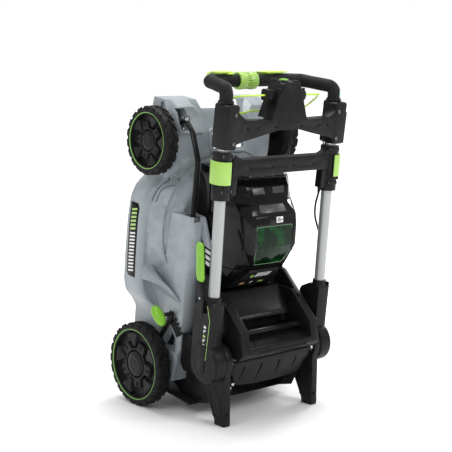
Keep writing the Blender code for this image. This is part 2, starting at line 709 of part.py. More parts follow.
def build_linkage():
    rear_hub = Vector((0.0, 0.0, REAR_WHEEL_R))
    front_hub = Vector((0.0, WHEELBASE, FRONT_WHEEL_R))
    add_node("rear_crank_axle", crank(REAR_AXLE, rear_hub, WHEEL_OUTER_FACE_X - 0.010), "rear_axle",
             "steel")
    add_node("front_crank_axle", crank(FRONT_AXLE, front_hub, WHEEL_OUTER_FACE_X - 0.010),
             "front_axle", "steel")
    route = [REAR_LINK_PIN, REAR_LINK_PIN + Vector((0, 0.070, 0.030)), Vector((0, 0.230, LINK_TOP_Z)),
             Vector((0, 0.640, LINK_TOP_Z)), FRONT_LINK_PIN - Vector((0, 0.030, -0.038)), FRONT_LINK_PIN]
    path = round_corners(route, 0.040, 3)
    upper, lower = [], []
    for index, point in enumerate(path):
        before, after = path[max(index - 1, 0)], path[min(index + 1, len(path) - 1)]
        run = (after - before).normalized()
        normal = Vector((0.0, -run.z, run.y)) * LINK_THICK / 2
        upper.append(point + normal)
        lower.append(point - normal)
    outline = [(p.y, p.z) for p in upper + lower[::-1]]
    strap = prism(outline, "X", LINK_X - LINK_WIDTH / 2, LINK_X + LINK_WIDTH / 2)
    eyes = []
    bores = []
    for pin in (REAR_LINK_PIN, FRONT_LINK_PIN):
        eye_half = LINK_WIDTH / 2 - GAP
        ends = ((LINK_X - eye_half, pin.y, pin.z), (LINK_X + eye_half, pin.y, pin.z))
        eyes.append(rod(*ends, 0.0075, 16))
        bore = LINK_PIN_R + (RUNNING if pin is REAR_LINK_PIN else CLEAR)
        bores.append(rod((-0.2, pin.y, pin.z), (-0.1, pin.y, pin.z), bore, 12))
    add_node("link_rod", carve(fuse(strap, *eyes), *bores), "link_rod", "black_plastic")


def build_height_lever():
    """Flat lever between the left rear wheel and the deck, with a knob reaching out."""
    outer_x = -(CRANK_ARM_X + CRANK_ARM_THICK)
    pivot = REAR_AXLE
    stem = Vector((0.0, KNOB_PLACE.y - pivot.y, KNOB_PLACE.z - pivot.z))
    across = Vector((0.0, -stem.z, stem.y)).normalized() * 0.008
    corners = [pivot + stem * 0.14 + across, pivot + stem * 0.14 - across, pivot + stem - across,
               pivot + stem + across]
    plate = prism([(c.y, c.z) for c in corners], "X", outer_x + 0.0005, outer_x + 0.0045)
    neck = rod((outer_x + 0.002, KNOB_PLACE.y, KNOB_PLACE.z), (KNOB_PLACE.x + 0.014, KNOB_PLACE.y, KNOB_PLACE.z),
               0.006, 12)
    add_node("height_lever", fuse(plate, neck), "rear_axle", "black_plastic")
    profile = []
    steps = 8
    for step in range(steps + 1):
        angle = math.pi * step / steps
        profile.append((KNOB_R * math.sin(angle) ** 0.7 if 0 < step < steps else 0.0,
                        -KNOB_HALF_LENGTH * math.cos(angle)))
    bore = rod((KNOB_PLACE.x + 0.0135, KNOB_PLACE.y, KNOB_PLACE.z), (-0.2, KNOB_PLACE.y, KNOB_PLACE.z), 0.006 + GAP, 12)
    knob = lathe(profile, KNOB_PLACE, (0.0, -0.60, 0.80), 16)
    add_node("height_knob", carve(knob, bore), "rear_axle", "green_plastic")
    centre = (REAR_AXLE.y, REAR_AXLE.z)
    outline = []
    pitch = (55.0 - 22.0) / (2 * NOTCHES + 1)
    for step in range(2 * NOTCHES + 1):
        reach = QUADRANT_OUTER_R - (NOTCH_DEPTH if step % 2 else 0.0)
        outline += arc_points(centre, reach, 22 + pitch * step, 22 + pitch * (step + 1), 1)
    outline += arc_points(centre, QUADRANT_INNER_R, 55, 22, 6)
    add_node("height_quadrant", prism(outline, "X", -0.1985, -0.1950), "root", "black_plastic")


# ---------------------------------------------------------------- blade and motor
def build_motor():
    centre = (0.0, BLADE_CENTRE_Y, 0.0)
    stator = [(0.0125, 0.2055), (0.062, 0.2055), (0.070, 0.212), (0.070, 0.255), (0.062, 0.262),
              (0.0125, 0.262)]
    add_node("motor_stator", lathe(stator, centre, (0, 0, 1), 28), "root", "stator")
    boss = [(0.0125, 0.165), (0.0295, 0.165), (0.0295, 0.2035), (0.0125, 0.2035)]
    add_node("spindle_bearing", lathe(boss, centre, (0, 0, 1), 24), "root", "steel")
    shaft = [(0.0, 0.030), (0.006, 0.030), (0.006, 0.052), (0.012, 0.052), (0.012, 0.264), (0.0, 0.264)]
    add_node("rotor_shaft", lathe(shaft, centre, (0, 0, 1), 20), "rotor", "steel")
    half = BLADE_LENGTH / 2
    outline = [(-half, 0.020), (-half, -0.020), (-half + 0.09, -0.026), (half - 0.02, -0.026),
               (half, -0.020),
               (half, 0.020), (half - 0.09, 0.026), (-half + 0.02, 0.026)]
    outline = [(x, BLADE_CENTRE_Y + y) for x, y in outline]
    blade = prism(outline, "Z", BLADE_Z, BLADE_Z + 0.0035)
    wings = []
    for sign in (-1, 1):
        x0, x1 = sorted((sign * (half - 0.075), sign * half))
        y0, y1 = sorted((BLADE_CENTRE_Y - sign * 0.0155, BLADE_CENTRE_Y - sign * 0.0195))
        wings.append(block((x0, y0, BLADE_Z + 0.001), (x1, y1, BLADE_Z + 0.018)))
    bore = rod((0, BLADE_CENTRE_Y, 0), (0, BLADE_CENTRE_Y, 0.1), 0.006 + GAP, 16)
    add_node("blade", carve(fuse(blade, *wings), bore), "rotor", "steel")
    nut_bore = (0.006 + GAP) / math.cos(math.pi / 6)
    nut = [(nut_bore, 0.034), (0.012, 0.034), (0.012, 0.0455), (nut_bore, 0.0455)]
    add_node("blade_nut", lathe(nut, centre, (0, 0, 1), 6), "rotor", "steel")


# ---------------------------------------------------------------- motor cover, lid and battery
# along the cover: (y, top height, half width at the top)
COVER_STATIONS = [
    (COVER_REAR_Y, 0.262, 0.120), (0.276, 0.322, 0.096), (0.325, 0.366, 0.084), (0.362, 0.386, 0.072),
    (0.416, 0.408, 0.080), (0.4725, 0.397, 0.086), (0.560, 0.356, 0.088), (0.598, 0.332, 0.086),
    (0.624, 0.262, 0.100),
]


def cover_section(y, top, half_top, inset):
    base_half = COVER_HALF_WIDTH - inset
    half_top = half_top - inset
    top = top - inset
    low = DECK_TOP_Z + 0.003 - (0.03 if inset else 0.0)
    middle_z = low + 0.55 * (top - low)
    right = [(base_half, low), (base_half - 0.004, middle_z), (half_top + 0.014, top - 0.020),
             (half_top, top)]
    left = [(-x, z) for x, z in reversed(right)]
    return [Vector((x, y, z)) for x, z in right + left]


def cover_solid(inset):
    sections = []
    last = len(COVER_STATIONS) - 1
    for index, (y, top, half_top) in enumerate(COVER_STATIONS):
        shift = inset if index == 0 else -inset if index == last else 0.0
        sections.append(cover_section(y + shift, top, half_top, inset))
    return loft(sections)


def cover_shell():
    return carve(cover_solid(0.0), cover_solid(COVER_WALL))


WINDOW_OUTLINE = [(-0.052, 0.3600), (0.052, 0.3600), (0.0665, 0.4000), (0.0680, 0.4740),
                  (-0.0680, 0.4740),
                  (-0.0665, 0.4000)]


def grown(outline, amount):
    """Move each corner of an outline away from its middle."""
    middle_x = sum(x for x, _ in outline) / len(outline)
    middle_y = sum(y for _, y in outline) / len(outline)
    return [(x + math.copysign(amount, x - middle_x),
             y + math.copysign(amount, y - middle_y)) for x, y in outline]


def build_cover():
    region = ((-0.2, LID_REAR_Y, LID_SPLIT_Z), (0.2, LID_FRONT_Y, 0.5))
    low = Vector(region[0]) - Vector((0, CLEAR, CLEAR))
    high = Vector(region[1]) + Vector((0, CLEAR, 0))
    body = carve(cover_shell(), block(low, high))
    ridge_room = block((LINK_X - RIDGE_HALF - GAP, 0.0, 0.1),
                       (LINK_X + RIDGE_HALF + GAP, RIDGE_FRONT_Y + 0.001, 0.3))
    add_node("motor_cover", carve(body, ridge_room), "root", "gloss_black", 25.0)
    window_tool = prism(grown(WINDOW_OUTLINE, GAP), "Z", 0.30, 0.5)
    lid = carve(common(cover_shell(), block(*region)), window_tool)
    add_node("battery_lid", lid, "battery_lid", "gloss_black", 25.0)
    window = common(cover_shell(), prism(WINDOW_OUTLINE, "Z", 0.30, 0.5))
    add_node("lid_window", window, "battery_lid", "smoked_green", 25.0)
    add_node("battery_pack", block((-0.058, 0.355, 0.2745), (0.058, 0.545, 0.3450), 0.006), "root",
             "black_plastic")
    tray_well = block((-0.060, 0.352, 0.2740), (0.060, 0.560, 0.4))
    tray = carve(block((-0.072, 0.340, 0.2660), (0.072, 0.575, 0.3000)), tray_well)
    add_node("battery_tray", tray, "root", "black_plastic")
    add_node("control_module", block((-0.055, 0.500, 0.2080), (0.055, 0.590, 0.2450), 0.004),
             "root", "aluminium")


# ---------------------------------------------------------------- rear chute, frame and door
def build_chute():
    wall = 0.004
    side = [(0.128, CHUTE_FLOOR_Z), (0.128, 0.400), (0.100, 0.424), (0.030, 0.414), (-0.045, 0.384),
            (-0.066, 0.330), (-0.066, 0.235), (-0.045, 0.200), (-0.034, 0.200), (-0.034, CHUTE_FLOOR_Z)]
    inside = [(0.128 - wall, 0.150), (0.128 - wall, 0.500), (-0.200, 0.500), (-0.200, 0.335),
              (-0.066 + wall, 0.335),
              (-0.066 + wall, 0.2365), (-0.0435, 0.2045), (-0.0300, 0.2045), (-0.0300, 0.150)]
    body = prism(side, "X", -CHUTE_HALF_WIDTH, CHUTE_HALF_WIDTH)
    tunnel = prism(inside, "X", -CHUTE_HALF_WIDTH + wall, CHUTE_HALF_WIDTH - wall)
    add_node("rear_chute", carve(body, tunnel), "root", "black_plastic")
    apron = [(-0.034, 0.060), (-0.058, 0.120), (-0.070, 0.190), (-0.070, 0.320), (-0.0665, 0.320),
             (-0.0665, 0.190),
             (-0.0545, 0.120), (-0.0340, 0.070)]
    add_node("trailing_apron", prism(apron, "X", -0.190, 0.190), "root", "rubber")
    outer = [(0.318, 0.262), (0.305, 0.316), (0.192, 0.464), (0.130, 0.484), (0.110, 0.466),
             (0.110, 0.4275),
             (0.1295, 0.403), (0.1295, 0.262)]
    frame = prism(outer, "X", -FRAME_HALF_WIDTH, FRAME_HALF_WIDTH)
    centre = [(0.262, 0.285), (0.262, 0.312), (0.188, 0.372), (0.188, 0.345), (0.152, 0.345),
              (0.152, 0.455),
              (0.146, 0.476), (0.146, 0.60), (0.40, 0.60), (0.40, 0.20), (0.262, 0.20)]
    pocket = prism(centre, "X", -FRAME_HALF_WIDTH + 0.030, FRAME_HALF_WIDTH - 0.030)
    under = [(0.252, 0.200), (0.252, 0.300), (0.196, 0.340), (0.196, 0.335), (0.142, 0.335),
             (0.142, 0.200)]
    below = prism(under, "X", -FRAME_HALF_WIDTH + 0.026, FRAME_HALF_WIDTH - 0.026)
    cover_room = block((-COVER_HALF_WIDTH - CLEAR, COVER_REAR_Y - CLEAR, 0.1),
                       (COVER_HALF_WIDTH + CLEAR, 0.5, 0.6))
    add_node("chute_frame", carve(frame, pocket, below, cover_room), "root", "black_plastic")
    reach = FRAME_HALF_WIDTH - 0.030 - GAP
    add_node("carry_bar", rod((-reach, 0.1690, 0.420), (reach, 0.1690, 0.420), CARRY_BAR_R, 20),
             "root", "black_plastic")


def build_door():
    hinge = Vector((0.0, DOOR_HINGE_Y, DOOR_HINGE_Z))
    end_y = hinge.y - DOOR_LENGTH
    plate = [(hinge.y + 0.004, hinge.z - 0.006), (hinge.y + 0.004, hinge.z + 0.004),
             (end_y, hinge.z - 0.013),
             (end_y - 0.001, hinge.z - 0.018)]
    door = prism(plate, "X", -DOOR_HALF_WIDTH, DOOR_HALF_WIDTH)
    bead = rod((-DOOR_HALF_WIDTH, hinge.y, hinge.z), (DOOR_HALF_WIDTH, hinge.y, hinge.z), 0.0065, 12)
    corners = []
    for sign in (-1, 1):
        outline = [(sign * 0.108, end_y - 0.01), (sign * 0.160, end_y - 0.01),
                   (sign * 0.160, end_y + 0.052)]
        corners.append(prism(outline, "Z", 0.40, 0.47))
    bore = rod((-0.2, hinge.y, hinge.z), (0.2, hinge.y, hinge.z), DOOR_ROD_R + RUNNING, 12)
    add_node("rear_door", carve(fuse(door, bead), *corners, bore), "rear_door", "black_plastic")
    add_node("door_rod",
             rod((-0.1615, hinge.y, hinge.z), (0.1615, hinge.y, hinge.z), DOOR_ROD_R, 12), "root",
             "steel")
    spring = [(DOOR_ROD_R + RUNNING, 0.0), (0.0062, 0.0), (0.0062, 0.009), (DOOR_ROD_R + RUNNING, 0.009)]
    add_node("door_spring", lathe(spring, (0.1515, hinge.y, hinge.z), (1, 0, 0), 14), "root", "steel")


# ---------------------------------------------------------------- brackets, knuckles and lower handle
def build_brackets():
    """Fixed side brackets: a round cheek, a root on the deck and the storage foot."""
    toe_z = FOOT_TIP_Z - FOOT_LENGTH
    outline = arc_points((KNUCKLE_Y, KNUCKLE_Z), KNUCKLE_R - 0.004, -10, 118, 8)
    outline += [(0.0100, 0.4600), (FOOT_TIP_Y + 0.010, FOOT_TIP_Z), (FOOT_TIP_Y, FOOT_TIP_Z),
                (floor_y(toe_z), toe_z),
                (floor_y(toe_z) + 0.016, toe_z - 0.004), (-0.0200, 0.3880), (0.0300, 0.3500),
                (0.0200, 0.2700),
                (0.0400, BRACKET_ROOT_Z), (0.1300, BRACKET_ROOT_Z), (0.1400, 0.3300)]
    for side, sign in (("left", -1), ("right", 1)):
        faces = sorted((sign * BRACKET_INNER_X, sign * BRACKET_OUTER_X))
        plate = prism(outline, "X", faces[0], faces[1])
        hole = rod((-0.3, KNUCKLE_Y, KNUCKLE_Z), (0.3, KNUCKLE_Y, KNUCKLE_Z), PIN_R + GAP, 16)
        add_node(f"handle_bracket_{side}", carve(plate, hole), "root", "black_plastic")
        start = Vector((sign * (BRACKET_INNER_X - 0.001), KNUCKLE_Y, KNUCKLE_Z))
        profile = [(0.0, 0.0), (PIN_R, 0.0), (PIN_R, PIN_LENGTH), (0.0, PIN_LENGTH)]
        add_node(f"knuckle_pin_{side}", lathe(profile, start, (sign, 0, 0), 16), "root", "steel")


def build_knuckles():
    """Turning half of each fold joint, with the socket of the handle tube."""
    for side, sign in (("left", -1), ("right", 1)):
        faces = sorted((sign * KNUCKLE_INNER_X, sign * KNUCKLE_OUTER_X))
        centre = (faces[0], KNUCKLE_Y, KNUCKLE_Z)
        width = faces[1] - faces[0]
        disc = [(0.0, 0.0), (KNUCKLE_R - 0.004, 0.0), (KNUCKLE_R, 0.004), (KNUCKLE_R, width - 0.004),
                (KNUCKLE_R - 0.004, width), (0.0, width)]
        bm = lathe(disc, centre, (1, 0, 0), 28)
        outline = [(KNUCKLE_Y, HOUSING_LOW_Z), (HOUSING_END_Y - 0.030, HOUSING_LOW_Z - 0.006),
                   (HOUSING_END_Y - 0.018, HOUSING_LOW_Z), (HOUSING_END_Y, HOUSING_LOW_Z + 0.030),
                   (HOUSING_END_Y, HOUSING_HIGH_Z - 0.004), (HOUSING_END_Y - 0.006, HOUSING_HIGH_Z),
                   (KNUCKLE_Y + 0.060, HOUSING_HIGH_Z + 0.003), (KNUCKLE_Y, HOUSING_HIGH_Z + 0.008)]
        housing = prism(outline, "X", faces[0] + 0.0006, faces[1] - 0.0006)
        start = Vector((sign * TUBE_X, HOUSING_END_Y - 0.02, tube_z(HOUSING_END_Y - 0.02)))
        collar = rod(start, start + TUBE_DIRECTION * 0.034, COLLAR_R, 20)
        inner = Vector((sign * TUBE_X, LOWER_TUBE_START_Y, tube_z(LOWER_TUBE_START_Y)))
        bore = rod(inner - TUBE_DIRECTION * GAP, inner + TUBE_DIRECTION * 0.2, TUBE_R + GAP, TUBE_SIDES)
        pocket_end = BRACKET_INNER_X - 0.001 + PIN_LENGTH + GAP
        pin_room = rod((sign * 0.17, KNUCKLE_Y, KNUCKLE_Z), (sign * pocket_end, KNUCKLE_Y, KNUCKLE_Z),
                       PIN_R + RUNNING, 16)
        node = carve(fuse(bm, housing, collar), bore, pin_room)
        add_node(f"handle_knuckle_{side}", node, "handle", "black_plastic")


def build_lower_handle():
    for side, sign in (("left", -1), ("right", 1)):
        start = Vector((sign * TUBE_X, LOWER_TUBE_START_Y, tube_z(LOWER_TUBE_START_Y)))
        end = Vector((sign * TUBE_X, LOWER_TUBE_END_Y, tube_z(LOWER_TUBE_END_Y)))
        tube = sweep([start, end], TUBE_R, TUBE_R - TUBE_WALL, TUBE_SIDES)
        add_node(f"lower_tube_{side}", tube, "handle", "aluminium")
    bar_z = BAR_FACE_Z
    outline = [(LOWER_BAR_LOW_Y, bar_z - 0.030), (LOWER_BAR_LOW_Y, bar_z),
               (LOWER_BAR_HIGH_Y, bar_z - 0.001),
               (LOWER_BAR_HIGH_Y, bar_z - 0.031)]
    bar = prism(outline, "X", -CLAMP_INNER_X, CLAMP_INNER_X)
    length = (LOWER_CLAMP_END_Y - LOWER_CLAMP_START_Y) / math.cos(TUBE_SLOPE)
    band_low = (CAM_BAND_START_Y - LOWER_CLAMP_START_Y) / math.cos(TUBE_SLOPE) - RUNNING
    band_high = (CAM_BAND_END_Y - LOWER_CLAMP_START_Y) / math.cos(TUBE_SLOPE) + RUNNING
    seat = (LOWER_TUBE_END_Y - LOWER_CLAMP_START_Y) / math.cos(TUBE_SLOPE) + GAP
    profile = [(0.0265, 0.0), (0.0265, band_low), (0.0245, band_low), (0.0245, band_high),
               (0.0275, band_high),
               (0.0275, length), (SLIDE_TUBE_R + RUNNING, length), (SLIDE_TUBE_R + RUNNING, seat),
               (TUBE_R + GAP, seat), (TUBE_R + GAP, 0.0)]
    pieces = []
    cuts = []
    for sign in (-1, 1):
        start = Vector((sign * TUBE_X, LOWER_CLAMP_START_Y, tube_z(LOWER_CLAMP_START_Y)))
        pieces.append(lathe(profile, start, TUBE_DIRECTION, TUBE_SIDES))
        pieces.append(block(*sorted_block(sign * 0.166, sign * CLAMP_INNER_X, 0.575, 0.640, 0.376,
                                          0.398)))
    for x in (-0.123, -0.041, 0.041, 0.123):
        cuts.append(rod((x, 0.6518, bar_z - 0.006), (x, 0.6518, bar_z + 0.01), 0.0032, 8))
    add_node("lower_crossbar", carve(fuse(bar, *pieces), *cuts), "handle", "black_plastic")


def sorted_block(x0, x1, y0, y1, z0, z1):
    return (min(x0, x1), y0, z0), (max(x0, x1), y1, z1)


def build_cam_levers():
    """Curved clamp levers that wrap the outer side of each collar."""
    inner, outer = 0.0285, 0.0330
    for side, sign in (("left", -1), ("right", 1)):
        profile_angles = [math.radians(-38 + 20 * k) for k in range(8)]
        low = Vector((sign * TUBE_X, CAM_BAND_START_Y, tube_z(CAM_BAND_START_Y)))
        high = Vector((sign * TUBE_X, CAM_BAND_END_Y, tube_z(CAM_BAND_END_Y)))
        sections = []
        for end in (low, high):
            ring = []
            for radius, angles in ((outer, profile_angles), (inner, profile_angles[::-1])):
                for angle in angles:
                    ring.append(end + Vector((sign * radius * math.cos(angle), 0.0,
                                              radius * math.sin(angle))))
            sections.append(ring)
        add_node(f"cam_lever_{side}", loft(sections), f"cam_lever_{side}", "green_plastic")


def build_release_lever():
    """Hand lever on the left tube that frees the fold joint."""
    x_low, x_high = -0.2400, -0.2290
    grip = [(0.328, 0.3600), (0.340, 0.3520), (0.425, 0.3400), (0.437, 0.3440), (0.438, 0.3600),
            (0.430, 0.3680),
            (0.340, 0.3830), (0.329, 0.3800)]
    add_node("release_grip", prism(grip, "X", x_low, x_high, 0.003), "release_lever", "green_plastic")
    stem = [(0.238, 0.3720), (0.290, 0.3650), (0.3275, 0.3620), (0.3275, 0.3790), (0.290, 0.3900),
            (0.240, 0.3930)]
    plate = prism(stem, "X", -0.2380, -0.2310)
    at_y, at_z = RELEASE_PIVOT.y, RELEASE_PIVOT.z
    hole = rod((-0.3, at_y, at_z), (-0.2, at_y, at_z), RELEASE_PIN_R + RUNNING, 12)
    add_node("release_stem", carve(plate, hole), "release_lever", "black_plastic")
    pin = rod((-0.2415, at_y, at_z), (-0.2285, at_y, at_z), RELEASE_PIN_R, 12)
    add_node("release_pin", pin, "handle", "steel")


CABLE_ROUTE = [
    (0.1755, 0.5735, 0.3870), (0.1757, 0.555, 0.3855), (0.1790, 0.520, 0.3760), (0.1900, 0.480, 0.3690),
    (0.2100, 0.440, 0.3680), (0.2250, 0.400, 0.3740), (0.2320, 0.360, 0.3830), (0.2325, 0.325, 0.3860),
    (0.2290, 0.300, 0.3845), (0.2245, 0.286, 0.3835), (0.2232, 0.2767, 0.3830),
]


def build_cable():
    """Control lead clipped along the right tube."""
    curve = bpy.data.curves.new("control_cable", "CURVE")
    curve.dimensions = "3D"
    curve.bevel_depth = CABLE_R
    curve.bevel_resolution = 2
    curve.use_fill_caps = True
    points = smooth_path(CABLE_ROUTE, 2)
    spline = curve.splines.new("POLY")
    spline.points.add(len(points) - 1)
    for slot, point in zip(spline.points, points):
        slot.co = (*(point - BODIES["handle"][1]), 1.0)
    curve.materials.append(MATERIALS["rubber"])
    thing = bpy.data.objects.new("control_cable", curve)
    bpy.context.collection.objects.link(thing)
    thing.parent = EMPTIES["handle"]


# ---------------------------------------------------------------- upper handle
def grip_path(start_y):
    """Centre line of the sliding tube and grip, from the left leg to the right one."""
    elbow_z = tube_z(ELBOW_Y)
    left = [Vector((-TUBE_X, start_y, tube_z(start_y))), Vector((-TUBE_X, ELBOW_Y, elbow_z)),
            Vector((-GRIP_CORNER_X, GRIP_BAR_Y, GRIP_BAR_Z))]
    right = [Vector((-p.x, p.y, p.z)) for p in reversed(left)]
    return round_corners(left + right, 0.022, 2)


# left half of the bail wire, from the ear on the switch box round to the middle of its cross wire
BAIL_ROUTE = [
    (-0.045, 0.849, 0.378), (-0.079, 0.849, 0.378), (-0.150, 0.846, 0.366), (-0.174, 0.832, 0.335),
    (-0.177, 0.806, 0.302), (-0.150, 0.791, 0.302), (-0.095, 0.789, 0.318), (-0.068, 0.797, 0.328),
    (-0.020, 0.797, 0.328),
]


def build_upper_handle():
    tube = sweep(grip_path(SLIDE_TUBE_START_Y), SLIDE_TUBE_R, SLIDE_TUBE_R - TUBE_WALL, TUBE_SIDES)
    add_node("sliding_tube", tube, "upper_handle", "steel")
    sleeve = sweep(grip_path(UPPER_SOCKET_END_Y - 0.006), GRIP_R, SLIDE_TUBE_R + RUNNING, TUBE_SIDES)
    add_node("grip_sleeve", sleeve, "upper_handle", "rubber", 50.0)
    add_node("upper_bracket", upper_bracket(), "upper_handle", "black_plastic")
    loop = [Vector(p) for p in BAIL_ROUTE] + [Vector((-x, y, z)) for x, y, z in reversed(BAIL_ROUTE)]
    wire = sweep(round_corners(loop, 0.008, 2), BAIL_WIRE_R, 0.0, 6)
    add_node("power_bail", wire, "power_bail", "green_wire")
    build_drive_bail()
    dial_x = BODIES["speed_dial"][1].x
    dial = [(GRIP_R + RUNNING, -0.033), (0.0235, -0.033), (0.0255, -0.029), (0.0255, -0.012),
            (0.0240, -0.009),
            (0.0240, 0.009), (0.0255, 0.012), (0.0255, 0.029), (0.0235, 0.033), (GRIP_R + RUNNING, 0.033)]
    ring = lathe(dial, (dial_x, GRIP_BAR_Y, GRIP_BAR_Z), (1, 0, 0), 20)
    add_node("speed_dial", ring, "speed_dial", "green_plastic")
    button = block((-0.010, SWITCH_BOX_TOP_Y - 0.010, 0.362),
                   (0.010, SWITCH_BOX_TOP_Y + 0.004, 0.382), 0.0015)
    add_node("start_button", button, "start_button", "green_plastic")


def build_drive_bail():
    """Two thumb paddles on one shaft behind the grip."""
    shaft_y, shaft_z = BODIES["drive_bail"][1].y, BODIES["drive_bail"][1].z
    shaft = rod((-0.150, shaft_y, shaft_z), (0.122, shaft_y, shaft_z), 0.003, 10)
    paddles = []
    for low, high in ((-0.158, -0.086), (0.016, 0.126)):
        outline = [(shaft_y - 0.003, shaft_z - 0.003), (shaft_y + 0.003, shaft_z - 0.003),
                   (0.8960, 0.2420),
                   (0.8965, 0.2660), (0.8935, 0.2660), (0.8920, 0.2430)]
        paddles.append(prism(outline, "X", low, high))
    add_node("drive_bail", fuse(shaft, *paddles), "drive_bail", "green_wire")


def upper_bracket():
    """Crossbar with two tube sockets, the switch housing and the ears that carry the bail."""
    face = UPPER_FACE_Z
    half = [(0.0390, 0.7560), (0.1000, 0.7420), (0.1600, 0.7300), (0.2290, 0.7080),
            (0.2290, 0.8000), (0.1900, 0.8000),
            (0.1700, 0.7860), (0.0690, 0.7830), (0.0280, SWITCH_BOX_TOP_Y)]
    outline = [(-x, y) for x, y in reversed(half)] + half
    bar = prism(outline[::-1], "Z", face - 0.034, face, 0.0)
    pieces = []
    cuts = []
    for sign in (-1, 1):
        low, high = sorted_block(sign * 0.1850, sign * 0.2290, UPPER_SOCKET_START_Y, UPPER_SOCKET_END_Y,
                                 0.350, face + 0.0006)
        pieces.append(block(low, high, 0.005))
        ear = [(0.0135, 0.0), (0.0160, 0.003), (0.0160, 0.024), (0.0, 0.024), (0.0, 0.0)]
        pieces.append(lathe(ear[::-1], (sign * 0.0480, BAIL_PIVOT_Y, BAIL_PIVOT_Z), (sign, 0, 0), 14))
        start = Vector((sign * TUBE_X, UPPER_SOCKET_START_Y - 0.02, tube_z(UPPER_SOCKET_START_Y - 0.02)))
        end = Vector((sign * TUBE_X, UPPER_SOCKET_END_Y + 0.02, tube_z(UPPER_SOCKET_END_Y + 0.02)))
        cuts.append(rod(start, end, SLIDE_TUBE_R + GAP, TUBE_SIDES))
        seat = Vector((sign * TUBE_X, UPPER_SOCKET_END_Y - 0.0065, tube_z(UPPER_SOCKET_END_Y - 0.0065)))
        cuts.append(rod(seat, end, GRIP_R + GAP, TUBE_SIDES))
        for x in (0.153, 0.116, 0.050):
            cuts.append(rod((sign * x, 0.7654, face - 0.006), (sign * x, 0.7654, face + 0.01), 0.0032, 8))
    switch = [(-0.060, 0.7845), (0.060, 0.7845), (0.0250, SWITCH_BOX_TOP_Y - 0.0007),
              (-0.0250, SWITCH_BOX_TOP_Y - 0.0007)]
    pieces.append(prism(switch, "Z", 0.3440, face - 0.002))
    well = block((-0.0105, SWITCH_BOX_TOP_Y - 0.016, 0.3615), (0.0105, SWITCH_BOX_TOP_Y + 0.010, 0.3825))
    room = rod((-0.0725, BAIL_PIVOT_Y, BAIL_PIVOT_Z), (0.0725, BAIL_PIVOT_Y, BAIL_PIVOT_Z),
               BAIL_WIRE_R + 0.0010, 12)
    return carve(fuse(bar, *pieces), *cuts, well, room)


clear_scene()
MATERIALS = {name: make_finish(name) for name in FINISHES}
STAND, EMPTIES = make_empties()
build_deck()
build_bushes()
build_wheels()
build_linkage()
build_height_lever()
build_motor()
build_cover()
build_chute()
build_door()
build_brackets()
build_knuckles()
build_lower_handle()
build_cam_levers()
build_release_lever()
build_cable()
build_upper_handle()
centre_on_origin()
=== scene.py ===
import json
import math

import bmesh
import bpy
from bpy.props import FloatProperty, FloatVectorProperty, IntProperty, PointerProperty
from mathutils import Matrix, Vector


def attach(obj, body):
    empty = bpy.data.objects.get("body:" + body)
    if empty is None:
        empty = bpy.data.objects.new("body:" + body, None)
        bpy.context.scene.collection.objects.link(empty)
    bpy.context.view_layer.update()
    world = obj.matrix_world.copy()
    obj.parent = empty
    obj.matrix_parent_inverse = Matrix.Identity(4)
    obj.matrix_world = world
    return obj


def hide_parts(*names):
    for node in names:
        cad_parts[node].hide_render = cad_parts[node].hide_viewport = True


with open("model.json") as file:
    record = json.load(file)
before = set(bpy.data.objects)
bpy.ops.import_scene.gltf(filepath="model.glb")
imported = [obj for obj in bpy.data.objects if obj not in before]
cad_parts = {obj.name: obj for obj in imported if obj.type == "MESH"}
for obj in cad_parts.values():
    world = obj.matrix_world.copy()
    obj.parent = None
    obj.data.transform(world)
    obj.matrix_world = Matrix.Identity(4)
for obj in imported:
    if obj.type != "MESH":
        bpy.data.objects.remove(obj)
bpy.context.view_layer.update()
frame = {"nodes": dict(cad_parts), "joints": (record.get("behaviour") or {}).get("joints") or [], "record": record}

bl_info = {"name": "Folded push mower", "version": (1, 0, 0), "blender": (4, 5, 0),
    "location": "View3D > Sidebar > Mower",
    "description": "Finishes and fine shapes for a push mower stood on end for storage",
    "category": "Object"}

# ------------------------------------------------------------------ mowing frame
# Shapes are laid out in the mowing frame: x to the right, y forward, z up from the
# ground, y = 0 at the rear wheel centres. STAND turns it into the stored pose.
WHEELBASE = 0.675
REAR_R = 0.125
FRONT_R = 0.1
REAR_AXLE = Vector((0.0, 0.047, 0.145))
FRONT_AXLE = Vector((0.0, 0.722, 0.12))
JOINT_AT = {joint["name"]: Vector(joint["pos_m"]) for joint in frame["joints"] if "pos_m" in joint}


def stand_matrix():
    """Carries the mowing frame to the stored pose, from the two axle joints."""
    rear, front = JOINT_AT["height_axle_rear"], JOINT_AT["height_axle_front"]
    run, flat = front - rear, FRONT_AXLE - REAR_AXLE
    angle = math.atan2(run.z, run.y) - math.atan2(flat.z, flat.y)
    return Matrix.Translation(rear) @ Matrix.Rotation(angle, 4, "X") @ Matrix.Translation(-REAR_AXLE)


STAND = stand_matrix()
TUBE_X = 0.207
TUBE_SLOPE = math.radians(3.0)
TUBE_DIRECTION = Vector((0.0, math.cos(TUBE_SLOPE), -math.sin(TUBE_SLOPE)))
LINK_X = -0.165
KNUCKLE = Vector((0.0, 0.0956, 0.4045))


def tube_z(y):
    """Height of the handle tube's centre line at y."""
    return 0.4007 - (y - 0.3) * math.tan(TUBE_SLOPE)


# ------------------------------------------------------------------ shape helpers
AXES = {"X": 0, "Y": 1, "Z": 2}


